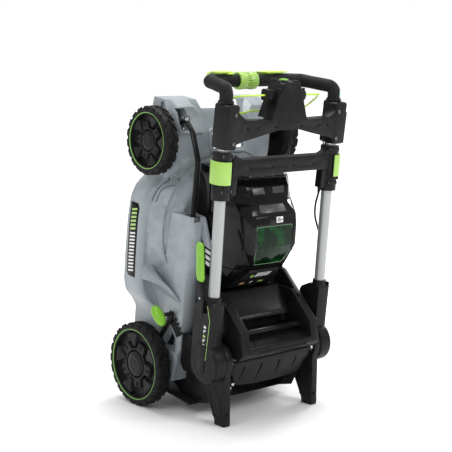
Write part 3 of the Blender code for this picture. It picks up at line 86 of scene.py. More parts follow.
def prism(outline, axis, low, high, bevel=0.0, steps=2):
    """Extrude an outline; X takes (y, z), Y takes (x, z), Z takes (x, y)."""
    bm = bmesh.new()
    index = AXES[axis]
    corners = []
    for u, v in outline:
        point = [u, v]
        point.insert(index, low)
        corners.append(bm.verts.new(point))
    face = bm.faces.new(corners)
    shift = [0.0, 0.0, 0.0]
    shift[index] = high - low
    made = bmesh.ops.extrude_face_region(bm, geom=[face])
    moved = [item for item in made["geom"] if isinstance(item, bmesh.types.BMVert)]
    bmesh.ops.translate(bm, verts=moved, vec=shift)
    bmesh.ops.recalc_face_normals(bm, faces=bm.faces)
    if bevel:
        bmesh.ops.bevel(bm, geom=bm.edges[:], offset=bevel, segments=steps, affect="EDGES", profile=0.5,
            clamp_overlap=True)
    return bm


def block(low, high, bevel=0.0, steps=2):
    x0, x1 = sorted((low[0], high[0]))
    y0, y1 = sorted((low[1], high[1]))
    z0, z1 = sorted((low[2], high[2]))
    return prism([(x0, y0), (x1, y0), (x1, y1), (x0, y1)], "Z", z0, z1, bevel, steps)


def side_frame(direction):
    """Two unit vectors square to a direction."""
    forward = direction.normalized()
    helper = Vector((1.0, 0.0, 0.0)) if abs(forward.x) < 0.9 else Vector((0.0, 1.0, 0.0))
    side = forward.cross(helper).normalized()
    return side, forward.cross(side).normalized()


def lathe(profile, centre, direction, segments=48):
    """Turn a closed profile of (radius, distance along the axis) about a line."""
    bm = bmesh.new()
    side, other = side_frame(Vector(direction))
    forward = Vector(direction).normalized()
    centre = Vector(centre)
    poles = {}
    rows = []
    for step in range(segments):
        angle = 2 * math.pi * step / segments
        radial = side * math.cos(angle) + other * math.sin(angle)
        row = []
        for index, (radius, along) in enumerate(profile):
            if radius < 1e-7:
                if index not in poles:
                    poles[index] = bm.verts.new(centre + forward * along)
                row.append(poles[index])
            else:
                row.append(bm.verts.new(centre + forward * along + radial * radius))
        rows.append(row)
    count = len(profile)
    for step in range(segments):
        first, second = rows[step], rows[(step + 1) % segments]
        for index in range(count):
            following = (index + 1) % count
            corners = list(dict.fromkeys((first[index], first[following], second[following], second[index])))
            if len(corners) > 2:
                bm.faces.new(corners)
    bmesh.ops.recalc_face_normals(bm, faces=bm.faces)
    return bm


def rod(start, end, radius, segments=24, chamfer=0.0):
    start, end = Vector(start), Vector(end)
    length = (end - start).length
    profile = [(0.0, 0.0), (radius - chamfer, 0.0), (radius, chamfer), (radius, length - chamfer),
        (radius - chamfer, length), (0.0, length)]
    if not chamfer:
        profile = [(0.0, 0.0), (radius, 0.0), (radius, length), (0.0, length)]
    return lathe(profile, start, end - start, segments)


def round_corners(points, radius, steps=6):
    """Replace each inner corner of a polyline with an arc."""
    path = [Vector(points[0])]
    for before, corner, after in zip(points, points[1:], points[2:]):
        corner = Vector(corner)
        inward = (Vector(before) - corner).normalized()
        outward = (Vector(after) - corner).normalized()
        half = inward.angle(outward) / 2
        if half > math.radians(89.0):
            path.append(corner)
            continue
        cut = radius / math.tan(half)
        centre = corner + (inward + outward).normalized() * (radius / math.sin(half))
        first = (corner + inward * cut - centre).normalized()
        last = (corner + outward * cut - centre).normalized()
        path += [centre + first.slerp(last, step / steps) * radius for step in range(steps + 1)]
    path.append(Vector(points[-1]))
    return path


def smooth_path(points, steps):
    """Catmull-Rom curve through points."""
    ends = [Vector(p) for p in points]
    ends = [2 * ends[0] - ends[1]] + ends + [2 * ends[-1] - ends[-2]]
    path = []
    for index in range(1, len(ends) - 2):
        a, b, c, d = ends[index - 1:index + 3]
        for step in range(steps):
            t = step / steps
            path.append(0.5 * (2 * b + (c - a) * t + (2 * a - 5 * b + 4 * c - d) * t * t + (3 * b - a - 3 * c
                + d) * t ** 3))
    path.append(ends[-2])
    return path


def sweep(path, radius, sides=24, wide=1.0, closed=False, radii=None):
    """Round bar along a path; radii gives a radius for each point."""
    bm = bmesh.new()
    count = len(path)
    tangents = []
    for index in range(count):
        before = path[index - 1] if index or closed else path[0]
        after = path[(index + 1) % count] if index < count - 1 or closed else path[-1]
        tangents.append((after - before).normalized())
    current = side_frame(tangents[0])[0]
    rows = []
    for index, (point, tangent) in enumerate(zip(path, tangents)):
        current = (current - tangent * current.dot(tangent)).normalized()
        other = tangent.cross(current)
        size = radii[index] if radii else radius
        row = []
        for k in range(sides):
            angle = 2 * math.pi * k / sides
            spoke = current * math.cos(angle) * wide + other * math.sin(angle)
            row.append(bm.verts.new(point + spoke * size))
        rows.append(row)
    for first, second in list(zip(rows, rows[1:])) + ([(rows[-1], rows[0])] if closed else []):
        for k in range(sides):
            following = (k + 1) % sides
            bm.faces.new((first[k], first[following], second[following], second[k]))
    if not closed:
        bm.faces.new(rows[0])
        bm.faces.new(rows[-1])
    bmesh.ops.recalc_face_normals(bm, faces=bm.faces)
    return bm


def loft(sections, capped=True, around=True):
    """Skin through rings (or open rows) of points that all have the same count."""
    bm = bmesh.new()
    rows = [[bm.verts.new(point) for point in section] for section in sections]
    count = len(rows[0])
    for first, second in zip(rows, rows[1:]):
        for k in range(count if around else count - 1):
            following = (k + 1) % count
            bm.faces.new((first[k], first[following], second[following], second[k]))
    if capped:
        bm.faces.new(rows[0])
        bm.faces.new(rows[-1])
    bmesh.ops.recalc_face_normals(bm, faces=bm.faces)
    return bm


def join(*parts):
    """One bmesh holding several separate ones; the others are used up."""
    mesh = bpy.data.meshes.new("join")
    whole = bmesh.new()
    for bm in parts:
        bm.to_mesh(mesh)
        whole.from_mesh(mesh)
        bm.free()
    bpy.data.meshes.remove(mesh)
    return whole


def mirror_copy(bm):
    """A copy reflected across the mower's centre plane."""
    copy = bm.copy()
    bmesh.ops.scale(copy, verts=copy.verts, vec=(-1.0, 1.0, 1.0))
    bmesh.ops.reverse_faces(copy, faces=copy.faces)
    return copy


def arc_points(centre, radius, start, end, steps):
    points = []
    for step in range(steps + 1):
        angle = math.radians(start + (end - start) * step / steps)
        points.append((centre[0] + radius * math.cos(angle), centre[1] + radius * math.sin(angle)))
    return points


def work_object(bm):
    bmesh.ops.triangulate(bm, faces=bm.faces[:], quad_method="FIXED")
    mesh = bpy.data.meshes.new("work")
    bm.to_mesh(mesh)
    bm.free()
    thing = bpy.data.objects.new("work", mesh)
    bpy.context.collection.objects.link(thing)
    return thing


def combine(base, tools, operation):
    """Boolean tools into the base; every bmesh given is used up."""
    subject = work_object(base)
    for tool in tools:
        cutter = work_object(tool)
        modifier = subject.modifiers.new("Boolean", "BOOLEAN")
        modifier.operation = operation
        modifier.solver = "EXACT"
        modifier.object = cutter
        graph = bpy.context.evaluated_depsgraph_get()
        result = bpy.data.meshes.new_from_object(subject.evaluated_get(graph))
        subject.modifiers.clear()
        subject.data = result
        bpy.data.objects.remove(cutter)
    bm = bmesh.new()
    bm.from_mesh(subject.data)
    bpy.data.objects.remove(subject)
    bmesh.ops.remove_doubles(bm, verts=bm.verts, dist=1e-6)
    return bm


def fuse(base, *tools):
    return combine(base, tools, "UNION")


def carve(base, *tools):
    return combine(base, tools, "DIFFERENCE")


def apply_modifiers(thing):
    graph = bpy.context.evaluated_depsgraph_get()
    mesh = bpy.data.meshes.new_from_object(thing.evaluated_get(graph))
    thing.modifiers.clear()
    thing.data = mesh


def bevelled(thing, width, steps, angle=30.0):
    """Round the sharp edges and keep the result in the mesh."""
    modifier = thing.modifiers.new("Bevel", "BEVEL")
    modifier.width = width
    modifier.segments = steps
    modifier.limit_method = "ANGLE"
    modifier.angle_limit = math.radians(angle)
    modifier.use_clamp_overlap = True
    modifier.harden_normals = False
    apply_modifiers(thing)


def dressed(name, bm, body, finish, stands_for, bevel, steps, sharp, angle=30.0):
    """New object of finished geometry, its edges rounded, that rides on a body."""
    mesh = bpy.data.meshes.new(name)
    bm.to_mesh(mesh)
    bm.free()
    thing = bpy.data.objects.new(name, mesh)
    bpy.context.scene.collection.objects.link(thing)
    if bevel:
        bevelled(thing, bevel, steps, angle)
    thing.data.shade_smooth()
    thing.data.set_sharp_from_angle(angle=math.radians(sharp))
    thing.data.materials.clear()
    thing.data.materials.append(FINISHES[finish])
    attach(thing, body)
    if stands_for:
        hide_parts(*stands_for)
    return thing


def piece(name, bm, body, finish, stands_for=(), bevel=0.0, steps=2, sharp=40.0):
    """Turn geometry in the mowing frame into a finished piece that rides on a body."""
    bmesh.ops.transform(bm, matrix=STAND, verts=bm.verts)
    bmesh.ops.recalc_face_normals(bm, faces=bm.faces)
    return dressed(name, bm, body, finish, stands_for, bevel, steps, sharp)


def softened(node, finish, width=0.0012, steps=2, sharp=40.0, angle=30.0):
    """A copy of a CAD node with rounded edges stands in for it."""
    bm = bmesh.new()
    bm.from_mesh(frame["nodes"][node].data)
    bmesh.ops.remove_doubles(bm, verts=bm.verts, dist=2e-6)
    bmesh.ops.dissolve_limit(bm, angle_limit=math.radians(0.6), verts=bm.verts, edges=bm.edges)
    return dressed(node + "_soft", bm, BODY_OF[node], finish, [node], width, steps, sharp, angle)


def keep(finish, *nodes):
    """CAD nodes whose shape is right get the finish and nothing else."""
    for node in nodes:
        slots = frame["nodes"][node].data.materials
        slots.clear()
        slots.append(FINISHES[finish])


# body that each CAD node rides on, from the record
BODY_OF = {node: body for body, nodes in frame["record"]["behaviour"]["bodies"].items() for node in nodes}


# ------------------------------------------------------------------ shader node groups
def new_group(name, inputs, outputs):
    group = bpy.data.node_groups.new(name, "ShaderNodeTree")
    for label, kind, value in inputs:
        socket = group.interface.new_socket(name=label, in_out="INPUT", socket_type=kind)
        socket.default_value = value
    for label, kind in outputs:
        group.interface.new_socket(name=label, in_out="OUTPUT", socket_type=kind)
    entry = group.nodes.new("NodeGroupInput")
    leave = group.nodes.new("NodeGroupOutput")
    return group, entry, leave


def noise_node(tree, scale, detail=3.0, rough=0.5):
    node = tree.nodes.new("ShaderNodeTexNoise")
    node.inputs["Scale"].default_value = scale
    node.inputs["Detail"].default_value = detail
    node.inputs["Roughness"].default_value = rough
    return node


def ramp_node(tree, stops):
    node = tree.nodes.new("ShaderNodeValToRGB")
    while len(node.color_ramp.elements) > len(stops):
        node.color_ramp.elements.remove(node.color_ramp.elements[-1])
    while len(node.color_ramp.elements) < len(stops):
        node.color_ramp.elements.new(0.5)
    for element, (place, value) in zip(node.color_ramp.elements, stops):
        element.position = place
        element.color = (value, value, value, 1.0)
    return node


def math_node(tree, operation, first=None, second=None):
    node = tree.nodes.new("ShaderNodeMath")
    node.operation = operation
    for socket, value in zip(node.inputs, (first, second)):
        if value is None:
            continue
        if isinstance(value, (int, float)):
            socket.default_value = value
        else:
            tree.links.new(value, socket)
    return node


def grain_group():
    """Moulded grain: a fine height and a soft large-scale tone."""
    group, entry, leave = new_group("moulded_grain", [("Grain Scale", "NodeSocketFloat", 900.0),
        ("Tone Scale", "NodeSocketFloat", 7.0)], [("Height", "NodeSocketFloat"), ("Tone", "NodeSocketFloat")])
    place = group.nodes.new("ShaderNodeTexCoord")
    fine = noise_node(group, 900.0, 2.0)
    slow = noise_node(group, 7.0, 4.0, 0.6)
    for node, label in ((fine, "Grain Scale"), (slow, "Tone Scale")):
        group.links.new(place.outputs["Object"], node.inputs["Vector"])
        group.links.new(entry.outputs[label], node.inputs["Scale"])
    spread = ramp_node(group, [(0.32, 0.0), (0.68, 1.0)])
    group.links.new(slow.outputs["Fac"], spread.inputs["Fac"])
    group.links.new(fine.outputs["Fac"], leave.inputs["Height"])
    group.links.new(spread.outputs["Color"], leave.inputs["Tone"])
    return group


def wear_and_highlight_group():
    """Edge wear with a painted edge highlight, and dust: worn is high on rubbed edges, partly as real wear and partly
    as painted highlight, dust on broken patches.
    """
    group, entry, leave = new_group("edge_wear", [("Pointiness", "NodeSocketFloat", 0.5), ("Patch Scale",
        "NodeSocketFloat", 35.0)], [("Worn", "NodeSocketFloat"), ("Dust", "NodeSocketFloat")])
    place = group.nodes.new("ShaderNodeTexCoord")
    edge = ramp_node(group, [(0.52, 0.0), (0.6, 1.0)])
    group.links.new(entry.outputs["Pointiness"], edge.inputs["Fac"])
    patches = noise_node(group, 35.0, 5.0, 0.65)
    group.links.new(place.outputs["Object"], patches.inputs["Vector"])
    group.links.new(entry.outputs["Patch Scale"], patches.inputs["Scale"])
    broken = ramp_node(group, [(0.4, 0.25), (0.62, 1.0)])
    group.links.new(patches.outputs["Fac"], broken.inputs["Fac"])
    worn_and_lit = math_node(group, "MULTIPLY", edge.outputs["Color"], broken.outputs["Color"])
    group.links.new(worn_and_lit.outputs[0], leave.inputs["Worn"])
    dusty = ramp_node(group, [(0.5, 0.0), (0.75, 1.0)])
    group.links.new(patches.outputs["Fac"], dusty.inputs["Fac"])
    group.links.new(dusty.outputs["Color"], leave.inputs["Dust"])
    return group


def streak_group():
    """Drawn-metal streaks that run along the tube."""
    group, entry, leave = new_group("drawn_streaks", [("Across", "NodeSocketFloat", 1400.0), ("Along",
        "NodeSocketFloat", 6.0)], [("Streak", "NodeSocketFloat")])
    place = group.nodes.new("ShaderNodeTexCoord")
    scale = group.nodes.new("ShaderNodeVectorMath")
    scale.operation = "MULTIPLY"
    sizes = group.nodes.new("ShaderNodeCombineXYZ")
    group.links.new(entry.outputs["Across"], sizes.inputs["X"])
    group.links.new(entry.outputs["Across"], sizes.inputs["Y"])
    group.links.new(entry.outputs["Along"], sizes.inputs["Z"])
    group.links.new(place.outputs["Object"], scale.inputs[0])
    group.links.new(sizes.outputs["Vector"], scale.inputs[1])
    lines = noise_node(group, 1.0, 2.0)
    group.links.new(scale.outputs["Vector"], lines.inputs["Vector"])
    group.links.new(lines.outputs["Fac"], leave.inputs["Streak"])
    return group


def make_groups():
    return {"grain": grain_group(), "wear": wear_and_highlight_group(), "streak": streak_group()}


# finish: colour setting, gain of the second tone, lift of worn edges towards white (wear and painted highlight),
# roughness, roughness
#         change, grain scale, grain depth (mm), tone scale, wear and painted edge highlight, dust, metallic, coat
LOOKS = {
    "deck": ("deck", 1.13, 0.22, 0.34, 0.1, 1500.0, 0.03, 5.0, 0.45, 0.01, 0.0, 0.05),
    "plastic": ("moulding", 1.45, 0.008, 0.4, 0.12, 1300.0, 0.045, 11.0, 0.6, 0.02, 0.0, 0.0),
    "frame_plastic": ("moulding", 1.3, 0.01, 0.3, 0.1, 1200.0, 0.04, 9.0, 0.7, 0.01, 0.0, 0.0),
    "gloss": ("gloss", 1.5, 0.012, 0.12, 0.07, 700.0, 0.004, 16.0, 0.4, 0.0, 0.0, 0.1),
    "tyre": ("rubber", 1.5, 0.006, 0.55, 0.14, 800.0, 0.08, 24.0, 0.6, 0.05, 0.0, 0.0),
    "foam": ("foam", 1.6, 0.02, 0.6, 0.1, 1900.0, 0.14, 30.0, 0.3, 0.02, 0.0, 0.0),
    "green": ("accent", 1.14, 0.25, 0.36, 0.08, 1200.0, 0.035, 14.0, 0.4, 0.03, 0.0, 0.05),
    "band_green": ("band", 1.08, 0.3, 0.33, 0.08, 1200.0, 0.03, 14.0, 0.4, 0.03, 0.0, 0.05),
    "wire_green": ("wire", 1.07, 0.25, 0.3, 0.08, 1600.0, 0.015, 20.0, 0.3, 0.03, 0.0, 0.15),
    "ring_green": ("ring", 1.1, 0.15, 0.4, 0.08, 1500.0, 0.02, 20.0, 0.3, 0.05, 0.0, 0.0),
    "zinc": ("metal", 1.16, 0.4, 0.3, 0.14, 900.0, 0.012, 40.0, 0.4, 0.1, 1.0, 0.0),
    "dark_steel": ("dark_metal", 1.3, 0.25, 0.36, 0.14, 900.0, 0.02, 25.0, 0.7, 0.12, 1.0, 0.0),
    "label": ("label", 1.4, 0.02, 0.24, 0.05, 900.0, 0.004, 18.0, 0.1, 0.0, 0.0, 0.05),
    "print_white": ("print_white", 1.05, 0.1, 0.4, 0.06, 900.0, 0.004, 60.0, 0.1, 0.06, 0.0, 0.0),
    "print_orange": ("print_orange", 1.1, 0.1, 0.4, 0.06, 900.0, 0.004, 60.0, 0.1, 0.06, 0.0, 0.0),
    "print_teal": ("print_teal", 1.15, 0.1, 0.4, 0.06, 900.0, 0.004, 60.0, 0.1, 0.06, 0.0, 0.0),
    "satin_facet": ("facet", 1.25, 0.05, 0.4, 0.08, 900.0, 0.02, 12.0, 0.4, 0.05, 0.0, 0.0),
    "edge_gold": ("gold", 1.3, 0.1, 0.35, 0.1, 900.0, 0.01, 40.0, 0.3, 0.05, 0.0, 0.0),
    "slot_green": ("slot", 1.2, 0.05, 0.45, 0.08, 1200.0, 0.02, 30.0, 0.2, 0.05, 0.0, 0.0),
    "dark_deck": ("shade", 1.2, 0.05, 0.45, 0.08, 1500.0, 0.02, 20.0, 0.2, 0.05, 0.0, 0.0),
    "window_edge": ("pane_edge_highlight", 1.4, 0.1, 0.12, 0.06, 900.0, 0.004, 30.0, 0.4, 0.03, 0.0, 0.6),
    "winding": ("winding", 1.25, 0.2, 0.38, 0.12, 1100.0, 0.15, 90.0, 0.5, 0.1, 1.0, 0.0),
}
# how strongly the dark finishes mirror the room
SHINE = {"plastic": 0.15, "frame_plastic": 0.16, "gloss": 0.17, "tyre": 0.13, "foam": 0.12, "label": 0.15,
    "satin_facet": 0.6}
FINISHES = {}


def colour_mix(tree, first, second, factor):
    """Mix two colours (tuples or sockets) by a factor socket."""
    node = tree.nodes.new("ShaderNodeMix")
    node.data_type = "RGBA"
    for socket, value in ((node.inputs["A"], first), (node.inputs["B"], second)):
        socket = [s for s in node.inputs if s.name == socket.name and s.type == "RGBA"][0]
        if isinstance(value, tuple):
            socket.default_value = (*value, 1.0)
        else:
            tree.links.new(value, socket)
    factor_socket = [s for s in node.inputs if s.name == "Factor" and s.type == "VALUE"][0]
    tree.links.new(factor, factor_socket)
    return [s for s in node.outputs if s.type == "RGBA"][0]


def moulded_finish(name, colours, groups):
    key, gain, lift, rough, change, grain, depth, tone_scale, wear, dust, metallic, coat = LOOKS[name]
    base = tuple(getattr(colours, key))
    second = tuple(min(1.0, part * gain) for part in base)
    worn_and_lit = tuple(part + (1.0 - part) * lift for part in base)
    material = bpy.data.materials.new("finish_" + name)
    material.use_nodes = True
    tree = material.node_tree
    shader = tree.nodes["Principled BSDF"]
    shader.inputs["Metallic"].default_value = metallic
    shader.inputs["Coat Weight"].default_value = coat
    shader.inputs["Coat Roughness"].default_value = 0.12
    shader.inputs["Specular IOR Level"].default_value = SHINE.get(name, 0.5)
    surface = tree.nodes.new("ShaderNodeGroup")
    surface.node_tree = groups["grain"]
    surface.inputs["Grain Scale"].default_value = grain
    surface.inputs["Tone Scale"].default_value = tone_scale
    rubbed_and_lit = tree.nodes.new("ShaderNodeGroup")
    rubbed_and_lit.node_tree = groups["wear"]
    rubbed_and_lit.inputs["Patch Scale"].default_value = tone_scale * 4.0
    shape = tree.nodes.new("ShaderNodeNewGeometry")
    tree.links.new(shape.outputs["Pointiness"], rubbed_and_lit.inputs["Pointiness"])
    toned = colour_mix(tree, base, second, surface.outputs["Tone"])
    # convex edges are lifted towards white, partly as rubbed wear and partly as a painted edge highlight
    amount = math_node(tree, "MULTIPLY", rubbed_and_lit.outputs["Worn"], wear)
    edged = colour_mix(tree, toned, worn_and_lit, amount.outputs[0])
    dusting = math_node(tree, "MULTIPLY", rubbed_and_lit.outputs["Dust"], dust)
    dirty = colour_mix(tree, edged, (0.3, 0.28, 0.25), dusting.outputs[0])
    tree.links.new(dirty, shader.inputs["Base Color"])
    shift = math_node(tree, "MULTIPLY", surface.outputs["Tone"], change)
    total = math_node(tree, "ADD", shift.outputs[0], rough - change / 2)
    tree.links.new(total.outputs[0], shader.inputs["Roughness"])
    bump = tree.nodes.new("ShaderNodeBump")
    bump.inputs["Strength"].default_value = 0.35
    bump.inputs["Distance"].default_value = depth * 0.001
    tree.links.new(surface.outputs["Height"], bump.inputs["Height"])
    tree.links.new(bump.outputs["Normal"], shader.inputs["Normal"])
    return material


def tube_finish(groups):
    """Satin anodised tube with drawn streaks."""
    material = bpy.data.materials.new("finish_tube")
    material.use_nodes = True
    tree = material.node_tree
    shader = tree.nodes["Principled BSDF"]
    shader.inputs["Metallic"].default_value = 0.55
    streaks = tree.nodes.new("ShaderNodeGroup")
    streaks.node_tree = groups["streak"]
    tone = colour_mix(tree, (0.35, 0.362, 0.362), (0.42, 0.432, 0.43), streaks.outputs["Streak"])
    tree.links.new(tone, shader.inputs["Base Color"])
    shift = math_node(tree, "MULTIPLY", streaks.outputs["Streak"], 0.16)
    total = math_node(tree, "ADD", shift.outputs[0], 0.3)
    tree.links.new(total.outputs[0], shader.inputs["Roughness"])
    bump = tree.nodes.new("ShaderNodeBump")
    bump.inputs["Strength"].default_value = 0.25
    bump.inputs["Distance"].default_value = 0.00002
    tree.links.new(streaks.outputs["Streak"], bump.inputs["Height"])
    tree.links.new(bump.outputs["Normal"], shader.inputs["Normal"])
    return material


def window_finish(groups):
    """Smoked green window: dark, glossy, with brighter swirls of the pack beneath, and lighter green painted along
    its edges as a highlight.
    """
    material = bpy.data.materials.new("finish_window")
    material.use_nodes = True
    tree = material.node_tree
    shader = tree.nodes["Principled BSDF"]
    shader.inputs["Coat Weight"].default_value = 0.1
    shader.inputs["Coat Roughness"].default_value = 0.04
    shader.inputs["Specular IOR Level"].default_value = 0.12
    place = tree.nodes.new("ShaderNodeTexCoord")
    slow = noise_node(tree, 28.0, 4.0, 0.6)
    tree.links.new(place.outputs["Object"], slow.inputs["Vector"])
    lines = ramp_node(tree, [(0.53, 0.0), (0.6, 1.0)])
    tree.links.new(slow.outputs["Fac"], lines.inputs["Fac"])
    toned = colour_mix(tree, (0.0006, 0.01, 0.0025), (0.0012, 0.042, 0.008), lines.outputs["Color"])
    shape = tree.nodes.new("ShaderNodeNewGeometry")
    # painted highlight: lighter green mixed in along the pane's edges by pointiness
    edge = ramp_node(tree, [(0.53, 0.0), (0.62, 1.0)])
    tree.links.new(shape.outputs["Pointiness"], edge.inputs["Fac"])
    painted_edge_highlight = colour_mix(tree, toned, (0.06, 0.23, 0.075), edge.outputs["Color"])
    tree.links.new(painted_edge_highlight, shader.inputs["Base Color"])
    gloss = tree.nodes.new("ShaderNodeGroup")
    gloss.node_tree = groups["grain"]
    shift = math_node(tree, "MULTIPLY", gloss.outputs["Tone"], 0.05)
    total = math_node(tree, "ADD", shift.outputs[0], 0.07)
    tree.links.new(total.outputs[0], shader.inputs["Roughness"])
    return material


def make_finishes(colours):
    groups = make_groups()
    for name in LOOKS:
        FINISHES[name] = moulded_finish(name, colours, groups)
    FINISHES["tube"] = tube_finish(groups)
    FINISHES["window"] = window_finish(groups)


# ------------------------------------------------------------------ surfaces shared by several pieces
def interpolate(table, x):
    """Straight-line look-up in a short list of rows sorted by their first value."""
    if x <= table[0][0]:
        return table[0][1]
    for (x0, v0), (x1, v1) in zip(table, table[1:]):
        if x <= x1:
            return v0 + (v1 - v0) * (x - x0) / (x1 - x0)
    return table[-1][1]


def eased(table, x, reach):
    """The same look-up, averaged over a short reach so that corners turn softly."""
    steps = 4
    total = sum(interpolate(table, x + reach * (k / steps)) for k in range(-steps, steps + 1))
    return total / (2 * steps + 1)


def smoothstep(low, high, x):
    t = min(1.0, max(0.0, (x - low) / (high - low)))
    return t * t * (3.0 - 2.0 * t)


HALF_WIDTHS = [(-0.03, 0.19), (0.15, 0.194), (0.176, 0.21), (0.205, 0.237), (0.24, 0.246), (0.32, 0.249),
    (0.43, 0.249), (0.5, 0.2435), (0.535, 0.227), (0.556, 0.202), (0.566, 0.194), (0.74, 0.194), (0.79,
    0.186),]
SHOULDERS = [(-0.03, 0.225), (0.05, 0.24), (0.11, 0.225), (0.15, 0.185), (0.19, 0.134), (0.24, 0.116), (0.32,
    0.112), (0.45, 0.112), (0.53, 0.116), (0.566, 0.122), (0.62, 0.14), (0.7, 0.138), (0.75, 0.116), (0.79,
    0.082),]
MIDDLES = [(-0.03, 0.228), (0.11, 0.228), (0.2, 0.2), (0.58, 0.2), (0.64, 0.168), (0.7, 0.15), (0.75, 0.126),
    (0.79, 0.09),]
DECK_REAR_Y = -0.03
DECK_FRONT_Y = 0.79
DOME_Y = 0.43
DOME_R = 0.2225
CREST_Z = 0.166
SHOULDER_R = 0.011
DECK_WALL = 0.004


def deck_half(y):
    return min(eased(HALF_WIDTHS, y, 0.01), interpolate(HALF_WIDTHS, y) + 0.0002)


def deck_height(x, y):
    """Top surface: a slope up from the shoulder to the round blade housing."""
    half = deck_half(y)
    shoulder = eased(SHOULDERS, y, 0.014)
    middle = eased(MIDDLES, y, 0.014)
    inset = (half - abs(x)) / half
    base = shoulder + (middle - shoulder) * smoothstep(0.05, 0.75, inset)
    radius = math.hypot(x, y - DOME_Y)
    inside = 0.1625 + 0.0355 * smoothstep(DOME_R - 0.003, DOME_R - 0.042, radius)
    across = math.sqrt(max(0.0, DOME_R ** 2 - (y - DOME_Y) ** 2))
    if radius < DOME_R:
        return max(inside, CREST_Z - (DOME_R - radius) * 1.2)
    reach = max(0.012, min(half - SHOULDER_R - across, 0.055))
    fall = min(1.0, max(abs(x) - across, (radius - DOME_R) * 0.9) / reach)
    return max(base, shoulder - 0.002 + (CREST_Z - shoulder) * (1.0 - fall) ** 2)


def deck_section(y, inset, columns):
    half = deck_half(y)
    shoulder = eased(SHOULDERS, y, 0.014)
    bottom = 0.03 - (0.02 if inset else 0.0)
    width = half - inset
    right = [(width, bottom), (width, bottom + 0.5 * (shoulder - SHOULDER_R - bottom)), (width,
        shoulder - SHOULDER_R - inset)]
    for angle in (18.0, 36.0, 54.0, 72.0, 90.0):
        turn = math.radians(angle)
        right.append((width - SHOULDER_R * (1 - math.cos(turn)), shoulder - inset - SHOULDER_R * (1
            - math.sin(turn))))
    span = half - SHOULDER_R
    for k in range(1, columns):
        x = span * (1 - k / columns)
        right.append((x, deck_height(x, y) - inset))
    middle = [(0.0, deck_height(0.0, y) - inset)]
    return right + middle + [(-x, z) for x, z in reversed(right)]


def deck_solid(inset, step, columns):
    sections = []
    count = round((DECK_FRONT_Y - DECK_REAR_Y) / step)
    for k in range(count + 1):
        y = DECK_REAR_Y + (DECK_FRONT_Y - DECK_REAR_Y) * k / count
        place = min(max(y, DECK_REAR_Y + inset), DECK_FRONT_Y - inset)
        sections.append([Vector((x, place, z)) for x, z in deck_section(y, inset, columns)])
    return loft(sections)


def ridge_shell(half, top, front):
    """Raised spine over the link rod; its walls spread in a hollow curve towards the foot."""
    sections = []
    for y, crown, low in ((0.02, 0.205, 0.116), (0.03, 0.225, 0.116), (0.075, top, 0.116), (0.3, top, 0.116),
            (0.35, top, 0.168), (front, top, 0.182)):
        flare = ((0.013, low), (0.008, low + 0.011), (0.004, low + 0.022), (0.0012, low + 0.036))
        right = [(half + wide, z) for wide, z in flare] + [(half, crown - 0.006), (half - 0.002,
            crown - 0.0015), (half - 0.005, crown)]
        ring = right + [(-x, z) for x, z in reversed(right)]
        sections.append([Vector((LINK_X + x, y, z)) for x, z in ring])
    return loft(sections)


def on_deck(points, lift=0.0):
    return [Vector((x, y, deck_height(x, y) + lift)) for x, y in points]


def bead(points, radius, lift, steps=4, sides=10):
    """A round bead laid along the deck through (x, y) places."""
    path = [Vector((p.x, p.y, deck_height(p.x, p.y) + lift)) for p in smooth_path([(x, y, 0.0) for x,
        y in points], steps)]
    return sweep(path, radius, sides)


def front_shoulder(sign):
    """Faceted block at a front corner of the deck, over the end of the axle."""
    low = [(0.08, 0.694), (0.188, 0.694), (0.1885, 0.762), (0.174, 0.7895), (0.112, 0.7895), (0.08, 0.758)]
    high = [(0.09, 0.704), (0.18, 0.704), (0.1805, 0.752), (0.168, 0.774), (0.114, 0.774), (0.09, 0.75)]
    sections = [[Vector((sign * x, y, 0.07)) for x, y in low], [Vector((sign * x, y,
        0.132 - (y - 0.694) * 0.4)) for x, y in low], [Vector((sign * x, y, 0.164 - (y - 0.694) * 0.5)) for x,
        y in high]]
    if sign < 0:
        sections = [section[::-1] for section in sections]
    return loft(sections)


def wing_flange(sign):
    """Swept edge behind the widest part of the deck; a ramp in front of it and a drop behind."""
    edge = smooth_path([(-0.247, 0.262, 0.104), (-0.243, 0.263, 0.116), (-0.236, 0.264, 0.148), (-0.215,
        0.254, 0.19), (-0.2, 0.23, 0.228), (-0.183, 0.206, 0.25)], 4)
    sections = []
    for p in edge:
        x, y, z = sign * p.x, p.y, p.z
        near = min(z, deck_height(p.x, y + 0.06)) - 0.012
        sections.append([Vector((x, y + 0.06, near)), Vector((x, y + 0.036, near + 0.35 * (z - near))),
            Vector((x, y + 0.014, z - 0.1 * (z - near))), Vector((x, y + 0.003, z)), Vector((x, y - 0.001,
            z - 0.002)), Vector((x, y - 0.001, z - 0.01)), Vector((x, y + 0.01, near - 0.004))])
    return loft(sections)


def star_screw(place, direction, radius=0.0042, depth=0.0016):
    """Round screw head with a six-lobed socket."""
    direction = Vector(direction).normalized()
    profile = [(0.0, -depth), (radius, -depth), (radius, 0.0004), (radius * 0.8, 0.0012), (0.0, 0.0012)]
    head = lathe(profile, place, direction, 20)
    side, other = side_frame(direction)
    ring = []
    for k in range(24):
        angle = 2 * math.pi * k / 24
        reach = radius * (0.5 if (k // 2) % 2 else 0.36)
        ring.append(side * math.cos(angle) * reach + other * math.sin(angle) * reach)
    place = Vector(place)
    socket = loft([[place + direction * 0.0002 + p for p in ring],
        [place + direction * 0.004 + p for p in ring]])
    return carve(head, socket)


